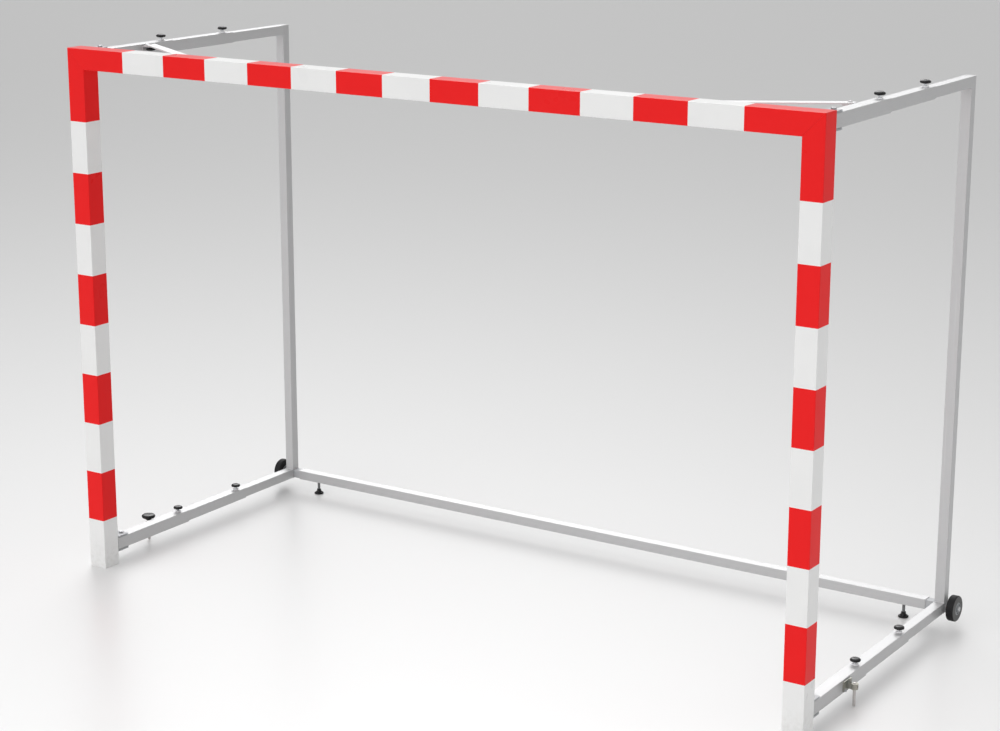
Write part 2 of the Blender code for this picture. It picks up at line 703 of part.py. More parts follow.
def build_ground_bar(goal, finish):
    """The ground bar, with a nut welded inside it over each foot."""
    mesh = plain_tube("ground_bar", REAR_SECTION, 2 * BAR_END, finish.rail)
    place = (-BAR_END, UPRIGHT_Y, LOW_RAIL_HEIGHT)
    bar = add("ground_bar", mesh, goal, place, (0.0, math.pi / 2, 0.0))
    low = LOW_RAIL_HEIGHT - REAR_SECTION / 2
    nut_low = low + RAIL_WALL / 2
    nut_top = low + RAIL_WALL + FOOT_NUT_HEIGHT
    nuts = bmesh.new()
    holes = bmesh.new()
    for _, sign in SIDES:
        rings = [ring(HEX_FLATS / 2, z, True) for z in (nut_low, nut_top)]
        loft(nuts, [[(sign * FOOT_X + x, UPRIGHT_Y + y, z) for x, y, z in points] for points in rings])
        centre = (sign * FOOT_X, UPRIGHT_Y, (low + nut_top) / 2)
        cylinder(holes, centre, FOOT_SCREW / 2 + HOLE_PLAY, 2 * (nut_top - low))
    combine(bar, "foot_nuts", nuts, goal, "UNION")
    combine(bar, "foot_holes", holes, goal)


def build_feet(goal, finish):
    """Two screw feet under the ground bar."""
    pad = FOOT_PAD / 2
    profile = (
        (pad * 0.9, 0.0),
        (pad, FOOT_PAD_RIM / 3),
        (pad, FOOT_PAD_RIM),
        (FOOT_PAD_TOP, FOOT_CONE_HEIGHT),
        (FOOT_NECK / 2, FOOT_CONE_HEIGHT),
        (FOOT_NECK / 2, FOOT_HEIGHT),
        (FOOT_SCREW / 2, FOOT_HEIGHT),
        (FOOT_SCREW / 2, FOOT_SCREW_TOP),
    )
    mesh = turned_mesh("foot", profile, finish.black)
    for side, sign in SIDES:
        add(f"foot_{side}", mesh, goal, (sign * FOOT_X, UPRIGHT_Y, 0.0))


def build_wheels(goal, finish):
    """A tyre on a hub on a bolt at each side; local +Z points outboard."""
    half = WHEEL_WIDTH / 2
    tyre = WHEEL_DIAMETER / 2
    hub = HUB_DIAMETER / 2
    rounding = []
    for step in range(SHOULDER_STEPS + 1):
        angle = math.pi / 2 * step / SHOULDER_STEPS
        radius = tyre - TYRE_SHOULDER * (1 - math.sin(angle))
        rounding.append((radius, half - TYRE_SHOULDER * (1 - math.cos(angle))))
    near = [(radius, -z) for radius, z in rounding]
    profile = [(hub + MESH_GAP, -half), *near, *reversed(rounding), (hub + MESH_GAP, half)]
    tyre_mesh = turned_mesh("tyre", profile, finish.tyre, True, WHEEL_STEPS)
    bore = AXLE / 2 + HOLE_PLAY
    floor = half - HUB_RECESS
    profile = (
        (bore, -half),
        (HUB_BOSS / 2, -half),
        (HUB_BOSS / 2, -floor),
        (hub - HUB_RIM, -floor),
        (hub - HUB_RIM, -half),
        (hub, -half),
        (hub, half),
        (hub - HUB_RIM, half),
        (hub - HUB_RIM, floor),
        (HUB_BOSS / 2, floor),
        (HUB_BOSS / 2, half),
        (bore, half),
    )
    hub_mesh = turned_mesh("hub", profile, finish.grey, True, WHEEL_STEPS)
    inner_end = RAIL_X + REAR_SECTION / 2 - 2 * RAIL_WALL - WHEEL_X
    seat = half + MESH_GAP
    profile = (
        (AXLE / 2, inner_end),
        (AXLE / 2, seat),
        (HEX_FLATS / 2, seat, True),
        (HEX_FLATS / 2, seat + AXLE_HEAD, True),
    )
    axle_mesh = turned_mesh("wheel_axle", profile, finish.zinc)
    for side, sign in SIDES:
        place = (sign * WHEEL_X, UPRIGHT_Y, WHEEL_HEIGHT)
        outboard = (0.0, sign * math.pi / 2, 0.0)
        for name, mesh in (("tyre", tyre_mesh), ("hub", hub_mesh), ("wheel_axle", axle_mesh)):
            add(f"{name}_{side}", mesh, goal, place, outboard)


def anchor_middle(sign):
    """Height of the middle of the anchor bracket on one side."""
    return LOW_RAIL_HEIGHT - (ANCHOR_DROP if sign < 0 else 0.0)


def build_anchor_brackets(goal, finish):
    """A plate outside each low rail, with a bush on it for the anchor rod."""
    face = RAIL_X + FRONT_SECTION / 2
    outline = rounded_rectangle(ANCHOR_PLATE_LENGTH, ANCHOR_PLATE_HEIGHT, RAIL_CORNER, CORNER_STEPS)
    mesh = outline_mesh("anchor_bracket", outline, ANCHOR_PLATE, finish.olive)
    for side, sign in SIDES:
        plate = sign * (face + MESH_GAP)
        upright = Matrix(((0, 0, sign), (sign, 0, 0), (0, 1, 0))).to_euler()
        middle = anchor_middle(sign)
        place = (plate, ANCHOR_Y, middle)
        bracket = add(f"anchor_bracket_{side}", mesh, goal, place, upright)
        bush_low = middle - ANCHOR_BUSH_HEIGHT / 2
        bush_high = middle + ANCHOR_BUSH_HEIGHT / 2
        ends = sorted((plate + sign * ANCHOR_PLATE / 2, sign * ANCHOR_X))
        low = (ends[0], ANCHOR_Y - ANCHOR_WEB / 2, bush_low + MESH_GAP)
        high = (ends[1], ANCHOR_Y + ANCHOR_WEB / 2, bush_high - MESH_GAP)
        bm = bmesh.new()
        box(bm, low, high)
        combine(bracket, f"anchor_web_{side}", bm, goal, "UNION")
        centre = (sign * ANCHOR_X, ANCHOR_Y, middle)
        bm = bmesh.new()
        cylinder(bm, centre, ANCHOR_BUSH / 2, ANCHOR_BUSH_HEIGHT)
        combine(bracket, f"anchor_bush_{side}", bm, goal, "UNION")
        holes = bmesh.new()
        cylinder(holes, centre, ANCHOR_ROD / 2 + HOLE_PLAY, 2 * ANCHOR_BUSH_HEIGHT)
        for step in (-1, 1):
            y = ANCHOR_Y + step * ANCHOR_BOLT_SPREAD_Y
            z = middle + step * ANCHOR_BOLT_SPREAD_Z
            cylinder(holes, (plate, y, z), ANCHOR_BOLT / 2 + HOLE_PLAY, 3 * ANCHOR_PLATE, "X")
        if sign > 0:
            stop = ANCHOR_X - ANCHOR_BUSH / 2 - MESH_GAP
            low = (stop - STOP_THICKNESS, ANCHOR_Y - STOP_WIDTH / 2, bush_high - STOP_THICKNESS)
            bm = bmesh.new()
            box(bm, low, (stop, ANCHOR_Y + STOP_WIDTH / 2, bush_high + STOP_HEIGHT))
            combine(bracket, "anchor_stop", bm, goal, "UNION")
            screw = (ANCHOR_X + ANCHOR_BUSH / 2, ANCHOR_Y, middle)
            cylinder(holes, screw, SET_SCREW / 2 + HOLE_PLAY, ANCHOR_BUSH, "X")
        combine(bracket, f"anchor_holes_{side}", holes, goal)


def build_anchor_rods(goal, finish):
    """The rods that go down into the floor; the left one has a hand wheel."""
    low = ANCHOR_FLOOR_GAP
    tip = ANCHOR_ROD / 3
    chamfer = ANCHOR_ROD / 2 - tip
    for side, sign in SIDES:
        high = low + (ANCHOR_ROD_LENGTH if sign < 0 else ANCHOR_PLAIN_LENGTH)
        profile = (
            (tip, low),
            (ANCHOR_ROD / 2, low + chamfer),
            (ANCHOR_ROD / 2, high - chamfer),
            (tip, high),
        )
        rod_mesh = turned_mesh(f"anchor_rod_{side}", profile, finish.steel)
        add(f"anchor_rod_{side}", rod_mesh, goal, (sign * ANCHOR_X, ANCHOR_Y, 0.0))
    high = low + ANCHOR_ROD_LENGTH
    hub_low = anchor_middle(-1) + ANCHOR_BUSH_HEIGHT / 2 + ANCHOR_KNOB_LIFT
    disc_low = hub_low + ANCHOR_KNOB_HUB_HEIGHT
    disc = ANCHOR_KNOB / 2
    bore = ANCHOR_ROD / 2 + HOLE_PLAY
    profile = (
        (bore, high + MESH_GAP),
        (bore, hub_low),
        (ANCHOR_KNOB_HUB / 2, hub_low),
        (ANCHOR_KNOB_HUB * 0.65, disc_low),
        (disc * 0.90, disc_low),
        (disc, disc_low + ANCHOR_KNOB_HEIGHT * 0.30),
        (disc, disc_low + ANCHOR_KNOB_HEIGHT * 0.65),
        (disc * 0.85, disc_low + ANCHOR_KNOB_HEIGHT * 0.92),
        (disc * 0.45, disc_low + ANCHOR_KNOB_HEIGHT),
    )
    knob = turned_mesh("anchor_knob", profile, finish.black, steps=WHEEL_STEPS)
    add("anchor_knob_left", knob, goal, (-ANCHOR_X, ANCHOR_Y, 0.0))


def main():
    """Build the goal."""
    clear_scene()
    finish = Finish()
    goal = bpy.data.objects.new("goal", None)
    bpy.context.scene.collection.objects.link(goal)
    goal.location = (0.0, -DEPTH / 2, 0.0)
    steps = (
        build_posts,
        build_crossbar,
        build_connectors,
        build_hinges,
        build_rails,
        build_braces,
        build_uprights,
        build_ground_bar,
        build_feet,
        build_wheels,
        build_anchor_brackets,
        build_anchor_rods,
    )
    for build in steps:
        build(goal, finish)


main()
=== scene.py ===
"""Handball goal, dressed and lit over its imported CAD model.

Lengths are metres. The floor is z = 0, +Y is the net side, and the middle of the goal's
footprint stands over the origin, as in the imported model. Each sub-assembly is a class that
builds its own finished pieces and lets them ride on the CAD bodies.
"""

from __future__ import annotations

import json
import logging
import math
from collections.abc import Callable, Iterable, Sequence
from dataclasses import dataclass, field
from enum import Enum
from typing import Any, ClassVar

import bmesh
import bpy
from mathutils import Euler, Matrix, Vector

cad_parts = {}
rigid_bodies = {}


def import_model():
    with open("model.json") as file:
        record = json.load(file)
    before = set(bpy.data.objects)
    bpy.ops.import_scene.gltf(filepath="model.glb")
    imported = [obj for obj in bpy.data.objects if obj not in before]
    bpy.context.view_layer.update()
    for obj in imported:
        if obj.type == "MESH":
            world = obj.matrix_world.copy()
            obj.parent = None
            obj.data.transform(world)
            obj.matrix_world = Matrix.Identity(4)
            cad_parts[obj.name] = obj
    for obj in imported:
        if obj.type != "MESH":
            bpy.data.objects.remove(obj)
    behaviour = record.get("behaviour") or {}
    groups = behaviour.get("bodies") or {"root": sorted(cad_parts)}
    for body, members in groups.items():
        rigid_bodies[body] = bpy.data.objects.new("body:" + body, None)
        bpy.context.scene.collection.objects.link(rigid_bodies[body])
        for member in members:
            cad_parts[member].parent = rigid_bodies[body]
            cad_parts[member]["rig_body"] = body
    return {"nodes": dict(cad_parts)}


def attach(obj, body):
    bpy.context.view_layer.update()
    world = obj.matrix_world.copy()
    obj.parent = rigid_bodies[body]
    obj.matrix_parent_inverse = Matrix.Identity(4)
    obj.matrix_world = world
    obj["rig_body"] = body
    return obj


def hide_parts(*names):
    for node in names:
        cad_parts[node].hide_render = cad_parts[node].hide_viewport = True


Mesh = bpy.types.Mesh
Socket = bpy.types.NodeSocket
Material = bpy.types.Material
Point = tuple[float, float]
Triple = tuple[float, float, float]

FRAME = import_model()
LOG = logging.getLogger("goal")
SIDES = (("left", -1), ("right", 1))
LOW_RAIL = 0.075  # height of the low rails and of the ground bar
LEVELS = (("top", 2.040), ("bottom", LOW_RAIL))
FRONT_Y = -0.654  # front face of the posts; the goal's own depths start here
REAR_Y = FRONT_Y + 1.259  # middle of the uprights and of the ground bar
RAIL_X = 1.540  # middle of the posts and of the rails
AXLE_HEIGHT = 0.076  # of the transport wheels
CORNERS = tuple(  # name, x and height of each rail's middle
    (f"{level}_{side}", sign * RAIL_X, height) for level, height in LEVELS for side, sign in SIDES
)
CAP_FACETS = 64
CAP_SHARP = 50.0  # edges of a cap above this angle stay sharp
CLOSE = 0.0003  # between pieces that touch
BEAD_LIFT = 0.0002  # of a weld's middle line off the face below it
BEAD_GAP = 0.0004  # between a boss and the middle line of its weld
REARWARD = (-math.pi / 2, 0.0)  # turns round X and Y that point local +Z at the net side
EASED_SHARE = 0.45  # of a profile's side, the most that one rounding takes
SKY_BASE = 0.13
SKY_LOBES = (  # direction, strength and sharpness
    ((0.0, 0.0, 1.0), 1.45, 6.0),
    ((-0.2, -1.0, 0.25), 1.77, 3.0),
    ((-0.30, 0.92, 0.42), 0.62, 6.0),
    ((-0.58, 0.78, 0.75), 6.20, 30.0),
    ((0.60, 0.75, 0.20), 0.28, 4.0),
)


class Axis(Enum):
    """A direction that a shape or a grain runs in."""

    X = 0
    Y = 1
    Z = 2


def operator(operation: str, first: bool = True) -> Callable[[Value, Value | float], Value]:
    """An operator that adds a Math node.

    Args:
        operation: the node's operation.
        first: whether the value comes before the other operand, or after it.

    Returns:
        The operator, as a method of Value.
    """

    def apply(value: Value, other: Value | float) -> Value:
        """Add the node."""
        return value.math(operation, other, first=first)

    return apply


@dataclass(frozen=True)
class Value:
    """A number that varies over a surface or along a shape; arithmetic on it adds Math nodes."""

    tree: Tree
    socket: Socket

    def math(self, operation: str, *others: Value | float, first: bool = True) -> Value:
        """Add one Math node.

        Args:
            operation: the node's operation.
            others: the further operands.
            first: whether this value is the first operand or the last.

        Returns:
            The node's result.
        """
        operands = [self, *others] if first else [*others, self]
        node = self.tree.node("ShaderNodeMath", dict(enumerate(operands)), operation=operation)
        return Value(self.tree, node.outputs[0])

    __add__ = __radd__ = operator("ADD")
    __sub__ = operator("SUBTRACT")
    __rsub__ = operator("SUBTRACT", False)
    __mul__ = __rmul__ = operator("MULTIPLY")
    __truediv__ = operator("DIVIDE")
    __mod__ = operator("MODULO")
    __pow__ = operator("POWER")
    __gt__ = operator("GREATER_THAN")
    most = operator("MAXIMUM")

    def __abs__(self) -> Value:
        """Size without its sign."""
        return self.math("ABSOLUTE")

    def step(self, low: float, high: float) -> Value:
        """Rise smoothly from 0 at low to 1 at high.

        Args:
            low: where the rise starts.
            high: where it ends; below low, the value falls instead.

        Returns:
            A value from 0 to 1.
        """
        low, high, flip = (low, high, False) if low < high else (high, low, True)
        inputs = {"Value": self, "From Min": low, "From Max": high}
        node = self.tree.node("ShaderNodeMapRange", inputs, interpolation_type="SMOOTHSTEP")
        risen = Value(self.tree, node.outputs[0])
        return 1.0 - risen if flip else risen


class Tree:
    """A node tree whose nodes are made by one method."""

    def __init__(self, nodes: bpy.types.NodeTree) -> None:
        """Take over an empty node tree."""
        self.nodes = nodes

    def node(self, kind: str, inputs: dict[Any, Any] | None = None, **settings: Any) -> bpy.types.Node:
        """Add one node.

        Args:
            kind: the node's type.
            inputs: what each socket gets, by its name or number. A value, a node or a socket is
                linked, as are several in a list, and anything else is set.
            settings: the node's settings, which are set first.

        Returns:
            The node.
        """
        made = self.nodes.nodes.new(kind)
        for key, setting in settings.items():
            setattr(made, key, setting)
        for key, given in (inputs or {}).items():
            for source in given if isinstance(given, list) else [given]:
                if isinstance(source, Value):
                    source = source.socket
                elif isinstance(source, bpy.types.Node):
                    source = source.outputs[0]
                if isinstance(source, Socket):
                    self.nodes.links.new(source, made.inputs[key])
                else:
                    made.inputs[key].default_value = source
        return made

    def joined(self, *parts: Value | float) -> bpy.types.Node:
        """Three numbers or values as one vector."""
        return self.node("ShaderNodeCombineXYZ", dict(enumerate(parts)))


class Shader(Tree):
    """The node tree of one material."""

    def __init__(self, name: str) -> None:
        """Start an empty material.

        Args:
            name: the material's name.
        """
        self.material = bpy.data.materials.new(name)
        self.material.use_nodes = True
        super().__init__(self.material.node_tree)
        self.nodes.nodes.clear()
        self.place = self.node("ShaderNodeTexCoord").outputs["Object"]

    def axes(self) -> list[Value]:
        """The place on the object as three values."""
        return [Value(self, part) for part in self.node("ShaderNodeSeparateXYZ", {0: self.place}).outputs]

    def noise(self, scale: float, stretch: Sequence[float] = (1.0, 1.0, 1.0), detail: float = 3.0) -> Value:
        """Noise on the object's own place.

        Args:
            scale: features per metre, roughly.
            stretch: factor for each axis, small along a grain.
            detail: octaves.

        Returns:
            Noise from 0 to 1.
        """
        spread = self.node("ShaderNodeVectorMath", {0: self.place, 1: tuple(stretch)}, operation="MULTIPLY")
        made = self.node("ShaderNodeTexNoise", {"Vector": spread, "Scale": scale, "Detail": detail})
        return Value(self, made.outputs[0])

    def cells(self, scale: float) -> Value:
        """Voronoi cells, each with one random shade from 0 to 1."""
        made = self.node("ShaderNodeTexVoronoi", {"Vector": self.place, "Scale": scale}, feature="F1")
        return Value(self, self.node("ShaderNodeSeparateColor", {0: made.outputs["Color"]}).outputs[0])

    def mix(self, factor: Value | float, first: Triple | Socket, second: Triple | Socket) -> Socket:
        """Blend two colours or links: a factor of 0 gives the first, 1 the second."""
        ends = [(*end, 1.0) if isinstance(end, tuple) else end for end in (first, second)]
        return self.node("ShaderNodeMix", {0: factor, 6: ends[0], 7: ends[1]}, data_type="RGBA").outputs[2]

    def shade(self, colour: Triple | Socket, amount: Value) -> Socket:
        """Scale a colour by a value."""
        return self.node("ShaderNodeVectorMath", {0: colour, "Scale": amount}, operation="SCALE").outputs[0]

    def finish(
        self,
        colour: Socket,
        roughness: Value,
        metallic: Value | float,
        relief: Value,
        depth: float,
        **fixed: float,
    ) -> Material:
        """Close the tree with a Principled shader.

        Args:
            colour: base colour.
            roughness: roughness.
            metallic: share of metal.
            relief: height of the surface, 0 to 1.
            depth: depth in metres that the relief stands for.
            fixed: further sockets, by name with _ for a space.

        Returns:
            The material.
        """
        bump = self.node("ShaderNodeBump", {"Height": relief, "Distance": depth, "Strength": 1.0})
        inputs = {"Base Color": colour, "Roughness": roughness, "Metallic": metallic, "Normal": bump}
        inputs |= {key.replace("_", " "): value for key, value in fixed.items()}
        self.node("ShaderNodeOutputMaterial", {0: self.node("ShaderNodeBsdfPrincipled", inputs)})
        return self.material


@dataclass(frozen=True)
class Finish:
    """How one surface looks; each kind makes its material once."""

    slot: ClassVar[str] = ""
    made: ClassVar[dict[Finish, Material]] = {}

    def material(self) -> Material:
        """The finish's material, made on first use.

        Returns:
            The material.
        """
        if self not in Finish.made:
            Finish.made[self] = self.paint(Shader(f"{type(self).__name__}_{len(Finish.made)}"))
        return Finish.made[self]

    def paint(self, shader: Shader) -> Material:
        """Build the material in an empty tree."""
        raise NotImplementedError


@dataclass(frozen=True)
class BandedCoat(Finish):
    """Powder coat in white and red bands, counted up a post or out from a crossbar's middle."""

    run: Axis = Axis.Z
    band: float = 0.200
    corner: float = 1.800  # where the red corner band starts
    white: Triple = (0.83, 0.83, 0.825)
    red: Triple = (0.83, 0.013, 0.014)
    dirt: Triple = (0.42, 0.40, 0.36)
    dust_top: float = 0.16
    slot: ClassVar[str] = "coat"

    def paint(self, shader: Shader) -> Material:
        """Bands with crisp edges, fine orange peel and a little dust near the floor.

        Args:
            shader: an empty tree.

        Returns:
            The material.
        """
        across, _, up = shader.axes()
        reach = up if self.run is Axis.Z else abs(across)
        along = reach / self.band
        if self.run is Axis.X:
            along = along + 0.5
        red = ((along % 2.0) > 1.0).most(reach > self.corner)
        peel = shader.noise(420.0, detail=2.0)
        drift = shader.noise(6.0)
        dust = up.step(self.dust_top, 0.0) * shader.noise(60.0).step(0.35, 0.75)
        colour = shader.shade(shader.mix(red, self.white, self.red), 0.97 + drift * 0.06)
        colour = shader.mix(dust * 0.18, colour, self.dirt)
        roughness = 0.24 + drift * 0.10 + dust * 0.25
        relief = peel * 0.5 + red * 0.5
        return shader.finish(colour, roughness, 0.0, relief, 0.00012, Specular_IOR_Level=0.12)


@dataclass(frozen=True)
class DrawnAluminium(Finish):
    """Natural anodised tube with drawing lines along its length."""

    run: Axis = Axis.Y
    tone: float = 0.525
    crown: float = 9.0  # height above which the tube is painted paler and less metallic, a painted light; by default above the goal, so that nothing is painted
    metal: float = 0.50
    grain: float = 0.012
    slot: ClassVar[str] = "rail_aluminium"

    def paint(self, shader: Shader) -> Material:
        """Lines along the tube, smudges and rubbed streaks; above the crown, painted light: a paler colour
        and less metal.

        Args:
            shader: an empty tree.

        Returns:
            The material.
        """
        stretch = [1.0, 1.0, 1.0]
        stretch[self.run.value] = self.grain
        lines = shader.noise(900.0, stretch, 4.0)
        rubbed = shader.noise(160.0, stretch, 2.0).step(0.62, 0.80)
        smudge = shader.noise(9.0)
        tone = self.tone * (0.92 + lines * 0.10 + smudge * 0.06) + rubbed * 0.05
        # painted light: above the crown the colour is paler and the metal less, as if brightly lit from above
        above = shader.axes()[2] > self.crown
        colour = shader.shade((1.0, 1.0, 1.01), tone * (above * 0.55 + 1.0))
        roughness = 0.36 + lines * 0.12 + smudge * 0.10 - rubbed * 0.08
        metal = self.metal * (1.0 - above * 0.72)
        return shader.finish(colour, roughness, metal, lines, 0.00004, Coat_Weight=0.45, Coat_Roughness=0.26)


@dataclass(frozen=True)
class ZincPlate(Finish):
    """Zinc plating with faint grains."""

    tone: float = 0.50
    rough: float = 0.30
    metal: float = 0.85
    slot: ClassVar[str] = "zinc"

    def paint(self, shader: Shader) -> Material:
        """Grains, cloudy patches and a fine surface.

        Args:
            shader: an empty tree.

        Returns:
            The material.
        """
        grains = shader.cells(420.0)
        cloud = shader.noise(45.0)
        fine = shader.noise(1500.0, detail=2.0)
        colour = shader.shade((0.97, 0.99, 1.02), self.tone * (0.86 + grains * 0.12 + cloud * 0.16))
        roughness = self.rough + cloud * 0.16 + grains * 0.06
        return shader.finish(colour, roughness, self.metal, fine, 0.00004)


@dataclass(frozen=True)
class YellowZinc(Finish):
    """Zinc plating with a yellow passivated film."""

    brass: Triple = (0.37, 0.36, 0.315)
    green: Triple = (0.32, 0.335, 0.315)
    slot: ClassVar[str] = "yellow_zinc"

    def paint(self, shader: Shader) -> Material:
        """Drifting brass and green tints over a satin metal.

        Args:
            shader: an empty tree.

        Returns:
            The material.
        """
        cloud = shader.noise(70.0)
        film = shader.noise(24.0).step(0.35, 0.65)
        colour = shader.shade(shader.mix(film, self.brass, self.green), 0.85 + cloud * 0.30)
        return shader.finish(colour, 0.34 + cloud * 0.18, 0.75, shader.noise(1400.0), 0.00004)


@dataclass(frozen=True)
class TurnedSteel(Finish):
    """Bare bright bar, turned, with rings across its length."""

    slot: ClassVar[str] = "bright_steel"

    def paint(self, shader: Shader) -> Material:
        """Turning rings and a slight warm tint.

        Args:
            shader: an empty tree.

        Returns:
            The material.
        """
        rings = shader.noise(1300.0, (0.02, 0.02, 1.0), 2.0)
        cloud = shader.noise(60.0)
        colour = shader.shade((1.03, 0.98, 0.96), 0.44 + rings * 0.10 + cloud * 0.08)
        return shader.finish(colour, 0.26 + rings * 0.14 + cloud * 0.06, 0.9, rings, 0.00005)


@dataclass(frozen=True)
class Moulded(Finish):
    """Moulded plastic with a fine grain."""

    colour: Triple = (0.008, 0.008, 0.009)
    gloss: float = 0.17
    specular: float = 0.30
    slot: ClassVar[str] = "black_plastic"

    def paint(self, shader: Shader) -> Material:
        """Fine grain, and cloudy patches rubbed shinier.

        Args:
            shader: an empty tree.

        Returns:
            The material.
        """
        grain = shader.noise(1700.0, detail=2.0)
        cloud = shader.noise(80.0)
        colour = shader.shade(self.colour, 0.85 + cloud * 0.35)
        roughness = self.gloss + cloud * 0.12 + grain * 0.05
        return shader.finish(colour, roughness, 0.0, grain, 0.00006, Specular_IOR_Level=self.specular)


@dataclass(frozen=True)
class GreyMoulded(Moulded):
    """Grey moulded plastic."""

    colour: Triple = (0.27, 0.28, 0.29)
    gloss: float = 0.42
    specular: float = 0.50
    slot: ClassVar[str] = "grey_plastic"


@dataclass(frozen=True)
class Rubber(Finish):
    """Black solid rubber, a little dusty, with a paler outer wall."""

    wall: float = 1.6045  # distance from the goal's middle where the outer wall starts
    wall_fade: float = 0.0016
    black: Triple = (0.007, 0.007, 0.008)
    dusty: Triple = (0.050, 0.048, 0.045)
    pale: Triple = (0.15, 0.15, 0.15)
    slot: ClassVar[str] = "tyre"

    def paint(self, shader: Shader) -> Material:
        """Pores, and dust in drifting patches; the wall is paler beyond a distance from the middle.

        Args:
            shader: an empty tree.

        Returns:
            The material.
        """
        pores = shader.noise(1100.0)
        dust = shader.noise(38.0).step(0.45, 0.80)
        wall = abs(shader.axes()[0]).step(self.wall, self.wall + self.wall_fade)
        colour = shader.mix(dust * 0.25, self.black, self.dusty)
        colour = shader.mix(wall * (0.50 + pores * 0.45), colour, self.pale)
        return shader.finish(colour, 0.62 + dust * 0.20, 0.0, pores, 0.00015, Specular_IOR_Level=0.30)


def placed(name: str, data: bpy.types.ID) -> bpy.types.Object:
    """An object of some data, linked to the scene.

    Args:
        name: the object's name.
        data: its mesh, light or camera.

    Returns:
        The object.
    """
    made = bpy.data.objects.new(name, data)
    bpy.context.scene.collection.objects.link(made)
    return made


def hardened(holder: bpy.types.Object) -> Mesh:
    """The plain mesh that an object's modifiers give.

    Args:
        holder: the object, which is dropped.

    Returns:
        The mesh.
    """
    graph = bpy.context.evaluated_depsgraph_get()
    graph.update()
    mesh = bpy.data.meshes.new_from_object(holder.evaluated_get(graph))
    bpy.data.objects.remove(holder)
    return mesh


class Recipe(Tree):
    """A geometry node tree with named sizes that ends in real, painted faces."""

    def __init__(self, name: str, sizes: dict[str, float]) -> None:
        """Start a tree.

        Args:
            name: the tree's name.
            sizes: its numeric inputs and what they are unless told otherwise.
        """
        super().__init__(bpy.data.node_groups.new(name, "GeometryNodeTree"))
        face = self.nodes.interface
        face.new_socket("Geometry", in_out="INPUT", socket_type="NodeSocketGeometry")
        for key, value in sizes.items():
            face.new_socket(key, in_out="INPUT", socket_type="NodeSocketFloat").default_value = value
        face.new_socket("Finish", in_out="INPUT", socket_type="NodeSocketMaterial")
        face.new_socket("Geometry", in_out="OUTPUT", socket_type="NodeSocketGeometry")
        self.enter = self.node("NodeGroupInput")

    def size(self, key: str) -> Value:
        """One of the tree's inputs as a value."""
        return Value(self, self.enter.outputs[key])

    def lift(self, shape: bpy.types.Node, height: Value) -> bpy.types.Node:
        """Move a shape up along Z."""
        return self.node("GeometryNodeTransform", {0: shape, "Translation": self.joined(0.0, 0.0, height)})

    def close(self, shape: bpy.types.Node) -> Recipe:
        """End the tree.

        Args:
            shape: the node whose geometry it ends with.

        Returns:
            The tree itself.
        """
        smooth = self.node("GeometryNodeSetShadeSmooth", {0: shape})
        real = self.node("GeometryNodeRealizeInstances", {0: smooth})
        painted = self.node("GeometryNodeSetMaterial", {0: real, "Material": self.enter.outputs["Finish"]})
        self.node("NodeGroupOutput", {0: painted})
        return self

    def make(self, source: Mesh, finish: Finish, **sizes: float) -> Mesh:
        """Run the tree on a mesh.

        Args:
            source: the mesh that it starts from.
            finish: what its faces are painted with.
            sizes: its inputs by name, with _ for a space.

        Returns:
            The result as a plain mesh.
        """
        holder = placed(source.name, source)
        modifier = holder.modifiers.new("shape", "NODES")
        modifier.node_group = self.nodes
        given = {key.replace("_", " "): value for key, value in sizes.items()}
        given["Finish"] = finish.material()
        for item in self.nodes.interface.items_tree:
            if item.in_out == "INPUT" and item.name in given:
                modifier[item.identifier] = given[item.name]
        return hardened(holder)


def thread_recipe() -> Recipe:
    """A helical ridge round +Z from z = 0, cut on a screw's core.

    Returns:
        The tree.
    """
    tree = Recipe("screw_thread", {"Core": 0.005, "Pitch": 0.0015, "Length": 0.006, "Ridge": 0.0006})
    core, length = tree.size("Core"), tree.size("Length")
    course = {"Resolution": 28, "Rotations": length / tree.size("Pitch"), "Height": length}
    spiral = tree.node("GeometryNodeCurveSpiral", course | {"Start Radius": core, "End Radius": core})
    ridge = tree.node("GeometryNodeCurvePrimitiveCircle", {"Resolution": 4, "Radius": tree.size("Ridge")})
    sweep = {"Curve": spiral, "Profile Curve": ridge, "Fill Caps": True}
    return tree.close(tree.node("GeometryNodeCurveToMesh", sweep))


def bead_recipe() -> Recipe:
    """A weld bead of overlapping ripples along the edges of the mesh that it is given.

    Returns:
        The tree.
    """
    tree = Recipe("weld_bead", {"Width": 0.003, "Spacing": 0.0012})
    path = tree.node("GeometryNodeMeshToCurve", {0: tree.enter.outputs["Geometry"]})
    marks = tree.node("GeometryNodeResampleCurve", {0: path, "Length": tree.size("Spacing")}, mode="LENGTH")
    drop = tree.node("GeometryNodeMeshIcoSphere", {"Radius": tree.size("Width") * 0.5, "Subdivisions": 2})
    swell = tree.node("FunctionNodeRandomValue", {2: 0.86, 3: 1.10, "Seed": 11}, data_type="FLOAT")
    bead = {"Points": marks, "Instance": drop, "Scale": swell.outputs[1]}
    return tree.close(tree.node("GeometryNodeInstanceOnPoints", bead))


